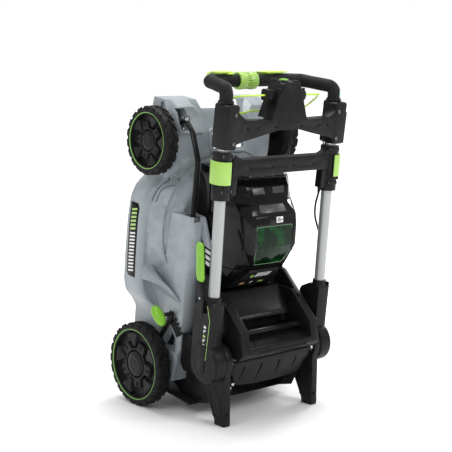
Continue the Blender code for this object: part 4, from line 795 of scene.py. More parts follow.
# ------------------------------------------------------------------ wheels
def tyre_shape(radius, width, lugs, lug_height):
    """Tyre about the x axis, outer face towards +x: casing, sidewall rings and two rows of lugs."""
    half = width / 2
    seat = radius - 0.02
    floor = radius - lug_height
    profile = [(seat, -half + 0.003), (seat + 0.004, -half + 0.0012), (radius - 0.01, -half + 0.0008),
        (floor - 0.001, -half + 0.006), (floor, -half + 0.01), (floor + 0.0006, 0.0), (floor, half - 0.01),
        (floor - 0.001, half - 0.006), (radius - 0.0095, half - 0.0012), (radius - 0.0105, half - 0.0002),
        (radius - 0.012, half - 0.0002), (radius - 0.013, half - 0.0012), (seat + 0.005, half - 0.0012),
        (seat + 0.004, half - 0.0004), (seat + 0.0022, half - 0.0004), (seat + 0.0012, half - 0.002), (seat,
        half - 0.003)]
    parts = [lathe(profile, (0, 0, 0), (1, 0, 0), 96)]
    pitch = 2 * math.pi / lugs
    for row, sign in enumerate((1, -1)):
        for k in range(lugs):
            start = pitch * (k + 0.5 * row)
            sections = []
            # x place, lead angle, half angle, base radius, top radius
            for x, lead, wide, base, top in ((half - 0.0007, 0.0, 0.36, radius - 0.012, radius - 0.0088),
                    (half - 0.002, 0.01, 0.36, floor - 0.004, radius - 0.003), (half - 0.0062, 0.05, 0.35,
                    floor - 0.002, radius), (half * 0.5, 0.26, 0.27, floor - 0.002, radius), (half * 0.34,
                    0.34, 0.22, floor - 0.002, radius), (half * 0.02, 0.74, 0.16, floor - 0.002, radius)):
                ring = []
                for reach, offset in ((base, -wide), (top, -wide * 0.86), (top, wide * 0.86), (base, wide)):
                    angle = start + (lead + offset) * pitch
                    ring.append(Vector((sign * x, reach * math.cos(angle), reach * math.sin(angle))))
                sections.append(ring)
            parts.append(loft(sections))
    return join(*parts)


def rim_height(reach, angle, half):
    """Outer face of the rim at a share of its radius and an angle: dome, ring gap, lobes and pads."""
    turn = (math.degrees(angle) % 72.0) - 36.0
    floor = half - 0.0185
    lobe_wide = 23.0 - 7.0 * smoothstep(0.44, 0.66, reach)
    lobe = (1 - smoothstep(lobe_wide - 3.0, lobe_wide, abs(turn))) * (1 - smoothstep(0.67, 0.71, reach))
    x = floor + 0.011 * lobe
    slot = 1 - smoothstep(0.032, 0.046, math.hypot((reach - 0.585) * 0.62, math.radians(turn) * reach))
    x -= 0.004 * slot * lobe
    around = 36.0 - abs(turn)
    pad_wide = 8.0 + 9.0 * smoothstep(0.5, 0.92, reach)
    pad = (1 - smoothstep(pad_wide - 2.2, pad_wide, around)) * smoothstep(0.5, 0.54, reach)
    pad *= 1 - smoothstep(0.92, 0.94, reach)
    x = max(x, floor + (0.0095 + 0.0035 * smoothstep(0.55, 0.9, reach)) * pad)
    ring = (1 - smoothstep(0.455, 0.475, reach)) * smoothstep(0.395, 0.41, reach)
    x = max(x, floor + 0.011 * ring)
    x -= 0.01 * (1 - smoothstep(0.396, 0.408, reach)) * smoothstep(0.362, 0.372, reach)
    if reach < 0.366:
        x = half - 0.014 + 0.0115 * math.sqrt(max(0.0, 1 - (reach / 0.366) ** 2) * 0.72 + 0.28)
        x -= 0.001 * (1 - smoothstep(0.15, 0.165, reach))
    wall = smoothstep(0.93, 0.965, reach)
    return x + (half - 0.0028 - x) * wall


def rim_shape(radius, width, spokes_at):
    """Rim about the x axis with its outer face modelled as a fine relief."""
    half = width / 2
    lip = radius - 0.0208
    shares = [0.0, 0.08, 0.14, 0.15, 0.157, 0.166, 0.22, 0.27, 0.31, 0.34, 0.355, 0.362, 0.37, 0.385, 0.398,
        0.41, 0.43, 0.455, 0.468, 0.48, 0.5, 0.515, 0.53, 0.545, 0.56, 0.575, 0.59, 0.605, 0.62, 0.64, 0.66,
        0.675, 0.69, 0.705, 0.73, 0.76, 0.8, 0.84, 0.88, 0.91, 0.925, 0.935, 0.95, 0.965, 0.975, 1.0]
    bm = bmesh.new()
    turns = 250
    rows = []
    centre = bm.verts.new((rim_height(0.0, 0.0, half), 0, 0))
    back = bm.verts.new((-half + 0.005, 0, 0))
    for step in range(turns):
        angle = 2 * math.pi * step / turns
        cosine, sine = math.cos(angle), math.sin(angle)
        row = []
        for share in shares[1:]:
            x = rim_height(share, angle + spokes_at, half)
            row.append(bm.verts.new((x, share * lip * cosine, share * lip * sine)))
        for x, share in ((-half + 0.0042, 1.0), (-half + 0.0042, 0.93), (-0.0035, 0.9), (-0.0035, 0.24),
                (-half + 0.005, 0.22)):
            row.append(bm.verts.new((x, share * lip * cosine, share * lip * sine)))
        rows.append(row)
    for step in range(turns):
        first, second = rows[step], rows[(step + 1) % turns]
        bm.faces.new((centre, first[0], second[0]))
        bm.faces.new((back, second[-1], first[-1]))
        for k in range(len(first) - 1):
            bm.faces.new((first[k], first[k + 1], second[k + 1], second[k]))
    bmesh.ops.recalc_face_normals(bm, faces=bm.faces)
    return bm


def hoop(radius, wide, x, high):
    """Thin raised ring about the x axis."""
    profile = [(radius - wide / 2, x - 0.001), (radius + wide / 2, x - 0.001), (radius + wide / 2,
        x + high * 0.6), (radius + wide / 4, x + high), (radius - wide / 4, x + high), (radius - wide / 2,
        x + high * 0.6)]
    return lathe(profile, (0, 0, 0), (1, 0, 0), 160)


class MOWER_OT_wheels(bpy.types.Operator):
    """Tyres with lugs, moulded rims and their green rings"""
    bl_idname = "mower.wheels"
    bl_label = "Wheels"

    def execute(self, context):
        sizes = context.scene.mower_sizes
        for end, y, radius, width in (("rear", 0.0, REAR_R, 0.05), ("front", WHEELBASE, FRONT_R, 0.046)):
            for side, sign in (("left", -1), ("right", 1)):
                body = f"wheel_{end}_{side}"
                turn = Matrix.Rotation(math.pi if sign < 0 else 0.0, 4, "Z")
                place = Matrix.Translation((sign * (0.258 - width / 2), y, radius)) @ turn
                tyre = tyre_shape(radius, width, sizes.lugs if end == "rear" else sizes.lugs - 3,
                    sizes.lug_height)
                rim = rim_shape(radius, width, math.radians(20.0 if end == "rear" else 50.0))
                ring = hoop(radius - 0.019, 0.003, width / 2 - 0.003, 0.0022)
                for bm in (tyre, rim, ring):
                    bmesh.ops.transform(bm, matrix=place, verts=bm.verts)
                piece(f"tyre_{end}_{side}_tread", tyre, body, "tyre", [f"tyre_{end}_{side}"],
                    0.0006, 1, 38.0)
                piece(f"rim_{end}_{side}_face", rim, body, "plastic", [f"rim_{end}_{side}"],
                    0.0, 1, 60.0)
                piece(f"ring_{end}_{side}", ring, body, "ring_green")
        return {"FINISHED"}


# ------------------------------------------------------------------ deck
def side_plate():
    """Chamfered plate that follows the curve of the left side wall."""
    sections = []
    stations = [(0.258, 0.008), (0.266, 0.0), (0.3, 0.0), (0.33, 0.0), (0.36, 0.0), (0.39, 0.0), (0.42, 0.0),
        (0.445, 0.0), (0.47, 0.0), (0.482, 0.008)]
    for y, cut in stations:
        x = -(deck_half(y) + 0.001)
        low, high = 0.043 - (y - 0.258) * 0.02, 0.084 - (y - 0.258) * 0.02
        rear = y < 0.3
        low_cut, high_cut = (cut, 0.0) if rear else (0.0, cut)
        sections.append([Vector((x, y, low + low_cut)), Vector((x, y, high - high_cut)), Vector((x + 0.004, y,
            high - high_cut)), Vector((x + 0.004, y, low + low_cut))])
    return loft(sections)


def plate_marks(first, last, count, wide, lean):
    """Generic slanted bars on the side plate."""
    parts = []
    for k in range(count):
        y = first + (last - first) * k / (count - 1)
        centre = 0.0635 - (y - 0.258) * 0.02
        x = -(deck_half(y) + 0.0014)
        outline = [(y - wide / 2 - lean, centre - 0.012), (y + wide / 2 - lean, centre - 0.012),
            (y + wide / 2 + lean, centre + 0.012), (y - wide / 2 + lean, centre + 0.012)]
        parts.append(prism(outline, "X", x, x + 0.002))
    return join(*parts)


class MOWER_OT_deck(bpy.types.Operator):
    """Deck with its housing crest, spine, front corners, side plate, and dark pieces of painted shade for its grooves
    and under the link slot
    """
    bl_idname = "mower.deck"
    bl_label = "Deck"

    def execute(self, context):
        sizes = context.scene.mower_sizes
        outer = deck_solid(0.0, sizes.deck_step, 40)
        inner = deck_solid(DECK_WALL, sizes.deck_step, 40)
        shell = fuse(outer, ridge_shell(0.0262, 0.2515, 0.478), front_shoulder(-1), front_shoulder(1))
        tunnel = [(0.026, 0.1), (0.026, 0.215), (0.078, 0.248), (0.4745, 0.248), (0.4745, 0.1)]
        mouth = [(LINK_X - 0.0195, 0.2085), (LINK_X + 0.0195, 0.2085), (LINK_X + 0.0195, 0.248),
            (LINK_X - 0.0195, 0.248)]
        notch = [(LINK_X - 0.024, 0.3), (LINK_X - 0.01, 0.24), (LINK_X + 0.01, 0.24), (LINK_X + 0.024, 0.3)]
        cuts = [prism(tunnel, "X", LINK_X - 0.0195, LINK_X + 0.0195), prism(mouth, "Y", 0.466, 0.49),
            prism(notch, "Y", 0.462, 0.5)]
        shell = carve(shell, inner, *cuts)
        holes = [rod((-0.3, a.y, a.z), (0.3, a.y, a.z), 0.0108, 24) for a in (REAR_AXLE, FRONT_AXLE)]
        holes.append(rod((0.0, 0.365, 0.1), (0.0, 0.365, 0.3), 0.03, 40))
        holes.append(block((LINK_X - 0.012, 0.71, 0.08), (LINK_X + 0.018, 0.7705, 0.3), 0.002))
        holes.append(block((-0.055, 0.655, 0.06), (0.055, 0.7, 0.3), 0.003))
        holes.append(block((-0.152, -0.08, 0.06), (0.152, 0.08, 0.21)))
        nose = [(-0.09, 0.82), (-0.072, 0.766), (0.072, 0.766), (0.09, 0.82)]
        holes.append(prism(nose, "Z", -0.01, 0.3))
        for sign in (-1, 1):
            bay = [(0.07, 0.176), (0.062, 0.235), (0.104, 0.232), (0.146, 0.198), (0.152, 0.16), (0.12, 0.15)]
            tray = [(y + math.copysign(0.004, y - 0.11), z + math.copysign(0.004, z - 0.19)) for y, z in bay]
            shell = fuse(shell, prism(tray, "X", *sorted((sign * 0.156, sign * 0.1925))))
            holes.append(prism(bay, "X", *sorted((sign * 0.16, sign * 0.26))))
        shell = carve(shell, *holes)
        piece("deck_housing", shell, "root", "deck", ["deck_shell"], sizes.deck_round, 2, 34.0)

        for sign, side in ((-1, "left"), (1, "right")):
            piece(f"deck_flange_{side}", wing_flange(sign), "root", "deck", (), 0.0, 2, 50.0)
        # painted shade: a dark plate below the link slot stands for the shade inside the deck
        shield = block((LINK_X - 0.03, 0.69, 0.074), (LINK_X + 0.06, 0.784, 0.078), 0.001)
        piece("deck_slot_shield", shield, "root", "dark_deck")
        trims = []
        for reach, size in ((DOME_R, 0.0018), (DOME_R - 0.016, 0.0012)):
            ring = [(reach * math.cos(math.radians(a)), DOME_Y + reach * math.sin(math.radians(a))) for a
                in range(100, 250, 6)]
            trims.append(bead(ring, size, -0.0004, 2, 8))
            trims.append(mirror_copy(trims[-1]))
        frame_ring = on_deck([(-0.064, 0.646), (0.064, 0.646), (0.064, 0.709), (-0.064, 0.709)], 0.0006)
        frame_ring.append(frame_ring[0])
        middle = (frame_ring[0] + frame_ring[1]) / 2
        loop = round_corners([middle] + frame_ring[1:4] + [frame_ring[0], middle], 0.012, 5)[:-1]
        trims.append(sweep(loop, 0.006, 12, closed=True))
        for y in (0.595, 0.612):
            trims.append(bead([(-0.12, y), (-0.06, y + 0.012), (0.06, y + 0.012), (0.12, y)], 0.0022, 0.0))
        piece("deck_beads", join(*trims), "root", "deck", (), 0.0, 1, 50.0)

        # painted shade: dark beads along the deck stand for the shade in its grooves
        grooves = []
        for shift in (0.0, 0.0075):
            lines = [(shift + 0.013 - deck_half(y), y) for y in (0.498, 0.516, 0.532, 0.546, 0.558, 0.57)]
            grooves.append(bead(lines, 0.0017, 0.0002))
            grooves.append(mirror_copy(grooves[-1]))
        piece("deck_grooves", join(*grooves), "root", "dark_deck")

        arm = [(0.476, 0.2505), (0.476, 0.22), (0.466, 0.214), (0.398, 0.264), (0.39, 0.286), (0.4, 0.286)]
        arms = prism(arm, "X", -0.1445, -0.1338)
        piece("deck_strut", arms, "root", "deck", (), 0.0012, 2)

        piece("side_plate", side_plate(), "root", "label", (), 0.0006, 2)
        piece("side_plate_green_bars", plate_marks(0.404, 0.462, 6, 0.0062, 0.003), "root", "band_green")
        piece("side_plate_white_bars", plate_marks(0.276, 0.39, 12, 0.0052, 0.0026), "root", "print_white")
        for end in ("rear", "front"):
            for side in ("left", "right"):
                keep("plastic", f"axle_bush_{end}_{side}")
        return {"FINISHED"}


# ------------------------------------------------------------------ motor cover, lid and window
# y, crown height, crown half width, brow height, brow half width, hip height, hip half width
COVER_RIBS = [
    (0.262, 0.262, 0.118, 0.256, 0.124, 0.23, 0.131),
    (0.276, 0.322, 0.096, 0.306, 0.112, 0.25, 0.129),
    (0.3, 0.343, 0.088, 0.323, 0.108, 0.262, 0.128),
    (0.304, 0.347, 0.087, 0.326, 0.107, 0.264, 0.128),
    (0.34, 0.368, 0.079, 0.348, 0.101, 0.275, 0.127),
    (0.362, 0.386, 0.072, 0.362, 0.098, 0.28, 0.127),
    (0.416, 0.408, 0.08, 0.387, 0.099, 0.285, 0.127),
    (0.4725, 0.3985, 0.086, 0.376, 0.104, 0.28, 0.128),
    (0.506, 0.3925, 0.084, 0.364, 0.107, 0.276, 0.1285),
    (0.51, 0.39, 0.083, 0.362, 0.1075, 0.275, 0.1285),
    (0.534, 0.37, 0.069, 0.342, 0.109, 0.27, 0.129),
    (0.54, 0.366, 0.07, 0.338, 0.1095, 0.269, 0.129),
    (0.56, 0.36, 0.076, 0.329, 0.111, 0.266, 0.1295),
    (0.578, 0.352, 0.081, 0.322, 0.113, 0.262, 0.13),
    (0.598, 0.338, 0.084, 0.312, 0.114, 0.258, 0.13),
    (0.604, 0.33, 0.086, 0.304, 0.115, 0.254, 0.13),
    (0.624, 0.262, 0.1, 0.252, 0.118, 0.236, 0.131),
]


def cover_ring(row, inset):
    y, crown, crown_half, brow, brow_half, hip, hip_half = row
    low = 0.203 - (0.03 if inset else 0.0)
    right = [(0.132 - inset, low), (hip_half - inset, hip - inset * 0.3), (brow_half - inset,
        brow - inset * 0.7), (crown_half - inset * 0.6, crown - inset), (0.0,
        crown - inset + (0.0012 if not inset else 0.0))]
    left = [(-x, z) for x, z in reversed(right[:-1])]
    return [Vector((x, y, z)) for x, z in right + left]


def cover_solid(inset):
    rings = []
    for index, row in enumerate(COVER_RIBS):
        shift = inset if index == 0 else -inset if index == len(COVER_RIBS) - 1 else 0.0
        rings.append(cover_ring((row[0] + shift, *row[1:]), inset))
    return loft(rings)


def cover_shell():
    return carve(cover_solid(0.0), cover_solid(0.004))


def crown_z(y):
    return interpolate([(row[0], row[1]) for row in COVER_RIBS], y)


WINDOW = [(-0.052, 0.36), (0.052, 0.36), (0.0665, 0.4), (0.068, 0.474), (-0.068, 0.474), (-0.0665, 0.4)]


def grown(outline, amount):
    middle_x = sum(x for x, _ in outline) / len(outline)
    middle_y = sum(y for _, y in outline) / len(outline)
    return [(x + math.copysign(amount, x - middle_x), y + math.copysign(amount, y - middle_y)) for x,
        y in outline]


def crown_patch(outline, thick, lift=0.0):
    """Thin plate that lies on the cover's crown inside an (x, y) outline."""
    rings = []
    for height in (lift - 0.001, lift + thick):
        rings.append([Vector((x, y, crown_z(y) + 0.0012 * (1 - abs(x) / 0.085) + height)) for x,
            y in outline])
    return loft(rings)


class MOWER_OT_cover(bpy.types.Operator):
    """Faceted motor cover, battery lid, smoked window and their generic marks"""
    bl_idname = "mower.cover"
    bl_label = "Cover and lid"

    def execute(self, context):
        sizes = context.scene.mower_sizes
        body = carve(cover_shell(), block((-0.2, 0.3415, 0.2985), (0.2, 0.6045, 0.5)), block((LINK_X - 0.0268,
            0.0, 0.1), (LINK_X + 0.0268, 0.479, 0.3)))
        piece("motor_hood", body, "root", "gloss", ["motor_cover"], sizes.edge_round, 2, 28.0)
        lid = combine(cover_shell(), [block((-0.2, 0.343, 0.3), (0.2, 0.603, 0.5))], "INTERSECT")
        lid = carve(lid, prism(grown(WINDOW, 0.0004), "Z", 0.3, 0.5))
        cheeks = []
        for sign in (-1, 1):
            ring = [(0.079, 0.394), (0.093, 0.398), (0.099, 0.412), (0.099, 0.462), (0.088, 0.478), (0.074,
                0.476), (0.0725, 0.404)]
            base = [Vector((sign * x, y, 0.372)) for x, y in ring]
            top = [Vector((sign * (x - (0.004 if x > 0.085 else 0.0)), y, crown_z(y) + 0.0035 - max(0.0,
                x - 0.078) * 0.9)) for x, y in ring]
            cheeks.append(loft([base, top] if sign > 0 else [base[::-1], top[::-1]]))
        lid = fuse(lid, *cheeks)
        piece("lid_shell", lid, "battery_lid", "gloss", ["battery_lid"], sizes.edge_round, 2,
            28.0)
        window = combine(cover_shell(), [prism(WINDOW, "Z", 0.3, 0.5)], "INTERSECT")
        piece("lid_window_pane", window, "battery_lid", "window", ["lid_window"], 0.0022, 3,
            28.0)
        # painted highlight: a thin lighter green bead round the window's edge
        rims = []
        loop = [Vector((x, y, crown_z(y) + 0.0004)) for x, y in grown(WINDOW, 0.0006)]
        for first, second in zip(loop, loop[1:] + loop[:1]):
            rims.append(sweep([first.lerp(second, t / 6) for t in range(7)], 0.0011, 8))
        piece("lid_window_trim", join(*rims), "battery_lid", "window_edge")

        panel = [(-0.074, 0.479), (0.074, 0.479), (0.074, 0.504), (-0.074, 0.504)]
        piece("lid_panel", crown_patch(panel, 0.0008), "battery_lid", "label", (), 0.0004, 1)
        sticker = crown_patch([(0.006, 0.4835), (0.031, 0.4835), (0.031, 0.5), (0.006, 0.5)], 0.0006, 0.0008)
        piece("lid_sticker", sticker, "battery_lid", "print_white")
        lines = []
        for x0, x1, y0, y1 in ((0.01, 0.0125, 0.486, 0.498), (0.015, 0.0175, 0.487, 0.4975), (0.0205, 0.0225,
                0.486, 0.4965), (0.0245, 0.029, 0.4895, 0.492)):
            lines.append(crown_patch([(x0, y0), (x1, y0), (x1, y1), (x0, y1)], 0.0003, 0.0015))
        piece("lid_sticker_lines", join(*lines), "battery_lid", "label")
        tabs = (("left", -0.049, -0.021, "steel", "print_white"), ("middle", -0.014, 0.014, "steel",
            "print_white"), ("right", 0.021, 0.047, "green_plastic", "band_green"))
        for name, x0, x1, slot, finish in tabs:
            tab = block((x0, 0.6018, 0.3185), (x1, 0.606, 0.3245), 0.0006)
            piece(f"lid_tab_{name}", tab, "battery_lid", finish)
        # painted reflection: an olive satin patch on the lid's tilted facet
        facet = [(-0.052, 0.5125), (0.052, 0.5125), (0.046, 0.532), (-0.046, 0.532)]
        piece("lid_facet", crown_patch(facet, 0.0008), "battery_lid", "satin_facet", (),
            0.0004, 1)
        # painted highlight: a satin band across the lid's curved slope
        band = [(-0.058, 0.561), (0.058, 0.561), (0.062, 0.578), (-0.062, 0.578)]
        piece("lid_band", crown_patch(band, 0.0006), "battery_lid", "satin_facet", (), 0.0003,
            1)

        # plate and marks between the lid and the chute
        plate = [Vector(p) for p in ((-0.058, 0.338, 0.3745), (0.058, 0.338, 0.3745), (0.07, 0.308, 0.352),
            (0.06, 0.305, 0.348), (-0.06, 0.305, 0.348), (-0.07, 0.308, 0.352))]
        up = Vector((0.0, -0.55, 0.83))
        body = loft([[p - up * 0.006 for p in plate], [p + up * 0.0022 for p in plate]])
        piece("hood_nameplate", body, "root", "plastic", (), 0.0016, 2)
        marks = []
        for k in range(6):
            x = -0.022 + 0.0095 * k
            low, high = Vector((x, 0.314, 0.359)), Vector((x + 0.004, 0.329, 0.3715))
            across = Vector((0.0021, 0.0, 0.0))
            corner = [low - across, low + across, high + across, high - across]
            marks.append(loft([[p + up * 0.0005 for p in corner], [p + up * 0.0014 for p in corner]]))
        piece("hood_name_bars", join(*marks), "root", "print_white")
        place = Vector((-0.036, 0.318, 0.3625)) + up * 0.0005
        piece("hood_name_dot", lathe([(0.003, 0.0), (0.0056, 0.0), (0.0056, 0.001), (0.003, 0.001)], place,
            up, 28), "root", "band_green")
        slope = Vector((0.0, -0.74, 0.67)).normalized()
        down = Vector((0.0, -0.67, -0.74)).normalized()
        for name, x, finish, slot in (("one", -0.046, "print_orange", "green_plastic"), ("two", -0.01,
                "print_white", "steel"), ("three", 0.026, "band_green", "green_plastic")):
            centre = Vector((x, 0.289, 0.332)) + slope * 0.0012
            if name == "two":
                shape = lathe([(0.0, 0.0), (0.0062, 0.0), (0.0062, 0.0008), (0.0, 0.0008)], centre, slope, 28)
            else:
                side = Vector((0.0085, 0.0, 0.0))
                ring = [centre - side - down * 0.0045, centre + side - down * 0.0045,
                    centre + side + down * 0.0045, centre - side + down * 0.0045]
                shape = loft([ring, [p + slope * 0.0008 for p in ring]])
            piece(f"hood_icon_{name}", shape, "root", finish)
        centre = Vector((-0.01, 0.289, 0.332)) + slope * 0.002
        half_disc = [centre + Vector((0.005 * math.cos(a), 0, 0)) + down * (0.005 * math.sin(a)) for a
            in [math.radians(-90 + 15 * k) for k in range(13)]]
        piece("hood_icon_two_half", loft([half_disc, [p + slope * 0.0006 for p in half_disc]]), "root",
            "label")
        # decal on the hood's left flank: plain slanted bars
        bars = []
        for k in range(5):
            y = 0.338 + 0.017 * k
            outline = [(y, 0.262 - k * 0.003), (y + 0.01, 0.262 - k * 0.003), (y + 0.006, 0.279), (y - 0.004,
                0.279)]
            bars.append(prism(outline, "X", -0.1302, -0.1286))
        piece("hood_flank_bars", join(*bars), "root", "print_white")
        keep("plastic", "battery_pack", "battery_tray")
        keep("zinc", "control_module")
        return {"FINISHED"}


# ------------------------------------------------------------------ rear chute, frame, carry bar and door
def deepened(bm):
    """Bring the floor of a slot cutter just under the sloping face of the door."""
    for vert in bm.verts:
        if vert.co.z < 0.45:
            vert.co.z = 0.4475 - 0.013 * (0.097 - vert.co.y) / 0.083
    return bm


class MOWER_OT_chute(bpy.types.Operator):
    """Rear chute, its open frame, the carry bar and the sprung door"""
    bl_idname = "mower.chute"
    bl_label = "Chute and door"

    def execute(self, context):
        sizes = context.scene.mower_sizes
        softened("rear_chute", "plastic", sizes.edge_round, 2)
        softened("chute_frame", "frame_plastic", 0.003, 3, 50.0)
        softened("trailing_apron", "tyre", 0.001, 2)
        bar = [(0.0, -0.1197), (0.008, -0.1197), (0.009, -0.1187), (0.009, 0.086), (0.0078, 0.0875), (0.0078,
            0.089), (0.009, 0.09), (0.009, 0.096), (0.0078, 0.097), (0.0078, 0.0985), (0.009, 0.0995), (0.009,
            0.1187), (0.008, 0.1197), (0.0, 0.1197)]
        piece("carry_bar_grip", lathe(bar, (0.0, 0.169, 0.42), (1, 0, 0), 40), "root", "frame_plastic", ["carry_bar"])
        # raised bead along the lip, with bent ends
        lip = round_corners([(-0.118, 0.146, 0.464), (-0.096, 0.13, 0.4845), (0.096, 0.13, 0.4845), (0.118,
            0.146, 0.464)], 0.012, 5)
        piece("frame_lip", sweep(lip, 0.004, 14), "root", "frame_plastic")
        # lighter rims round the recess behind the carry bar, painted as a highlight
        rims = []
        rims.append(block((-0.112, 0.1895, 0.348), (0.104, 0.201, 0.372), 0.0035))
        rims.append(block((0.104, 0.16, 0.345), (0.119, 0.198, 0.364), 0.003))
        piece("recess_rim", join(*rims), "root", "satin_facet", (), 0.0, 1)
        shelf = block((-0.1185, 0.1535, 0.3455), (0.1035, 0.1888, 0.352), 0.0012)
        piece("recess_floor", shelf, "root", "frame_plastic")
        # oval slot outlines on the two end blocks and bolt bosses on the arms
        for side, sign in (("left", -1), ("right", 1)):
            ring = [(sign * 0.135 + 0.0068 * math.cos(a), 0.446 + (0.0115 if math.sin(a) > 0 else -0.0115)
                + 0.006 * math.sin(a)) for a in [2 * math.pi * k / 24 for k in range(24)]]
            path = [Vector((x, 0.1098, z)) for x, z in ring]
            piece(f"frame_oval_{side}", sweep(path, 0.0009, 8, closed=True), "root", "frame_plastic")
            dot = rod((sign * 0.136, 0.248, 0.39), (sign * 0.136, 0.25, 0.3955), 0.0045, 20, 0.0008)
            piece(f"frame_boss_{side}", dot, "root", "plastic")
        # door: curved lower edge, tapered ribs of shadow, rolled hinge bead
        hinge_y, hinge_z = 0.097, 0.447
        steps = 28
        sections = []
        for k in range(steps + 1):
            x = -0.15 + 0.3 * k / steps
            share = abs(x) / 0.15
            reach = 0.083 * (1.0 - 0.16 * share ** 2.2 - 0.44 * smoothstep(0.8, 1.0, share))
            crown = 0.0016 * math.cos(share * math.pi / 2)
            drop = 0.013 * reach / 0.083
            sections.append([Vector((x, hinge_y + 0.003, hinge_z - 0.0055)), Vector((x, hinge_y + 0.003,
                hinge_z + 0.0035)), Vector((x, hinge_y - reach * 0.5, hinge_z - drop * 0.5 + 0.0026 + crown)),
                Vector((x, hinge_y - reach, hinge_z - drop - 0.0005)), Vector((x, hinge_y - reach - 0.0006,
                hinge_z - drop - 0.0045)), Vector((x, hinge_y - reach * 0.5, hinge_z - drop * 0.5 - 0.003))])
        door = loft(sections)
        slots = []
        for x, lean, long in ((-0.108, 0.01, 0.046), (-0.04, 0.014, 0.05), (0.03, 0.006, 0.044), (0.096,
                0.004, 0.038)):
            top_y, low_y = hinge_y - 0.016, hinge_y - 0.016 - long
            outline = [(x - 0.0045, top_y), (x + 0.0045, top_y), (x - lean + 0.0014, low_y),
                (x - lean - 0.0014, low_y)]
            slots.append(prism(outline, "Z", 0.433 + 0.0005, 0.47))
        beads = lathe([(0.0, -0.15), (0.0065, -0.15), (0.0065, 0.15), (0.0, 0.15)], (0, hinge_y, hinge_z), (1,
            0, 0), 24)
        bore = rod((-0.2, hinge_y, hinge_z), (0.2, hinge_y, hinge_z), 0.0036, 20)
        lowered = [deepened(slot) for slot in slots]
        door = carve(fuse(door, beads), bore, *lowered)
        piece("rear_door_panel", door, "rear_door", "plastic", ["rear_door"], 0.0006, 2)
        # painted highlight: a thin warm line along the door's lip
        edge = [Vector((-0.118 + 0.236 * k / 20, 0, 0)) for k in range(21)]
        for point in edge:
            share = abs(point.x) / 0.15
            reach = 0.083 * (1.0 - 0.16 * share ** 2.2)
            point.y = hinge_y - reach - 0.0002
            point.z = hinge_z - 0.013 * reach / 0.083 - 0.004
        piece("rear_door_edge", sweep(edge, 0.0009, 8), "rear_door", "edge_gold")
        keep("zinc", "door_rod")
        turns = [Vector((0.152 + 0.008 * k / 60, hinge_y + 0.005 * math.cos(k * 0.72),
            hinge_z + 0.005 * math.sin(k * 0.72))) for k in range(61)]
        tail = [turns[-1] + Vector((0.0006, -0.004, 0.002)), turns[-1] + Vector((0.0006, -0.016, 0.001))]
        piece("door_spring_coil", sweep(turns + tail, 0.0008, 8), "root", "zinc", ["door_spring"])
        return {"FINISHED"}


# ------------------------------------------------------------------ brackets and fold joints
def outline_ring(points, inner, depth, x, sign):
    """Shallow raised frame between an outline and a smaller copy of it, on an x plane."""
    middle_y = sum(p[0] for p in points) / len(points)
    middle_z = sum(p[1] for p in points) / len(points)
    small = [(middle_y + (y - middle_y) * inner, middle_z + (z - middle_z) * inner) for y, z in points]
    plate = prism(points, "X", *sorted((x, x + sign * depth)))
    hole = prism(small, "X", x - 0.01, x + 0.01)
    return carve(plate, hole)


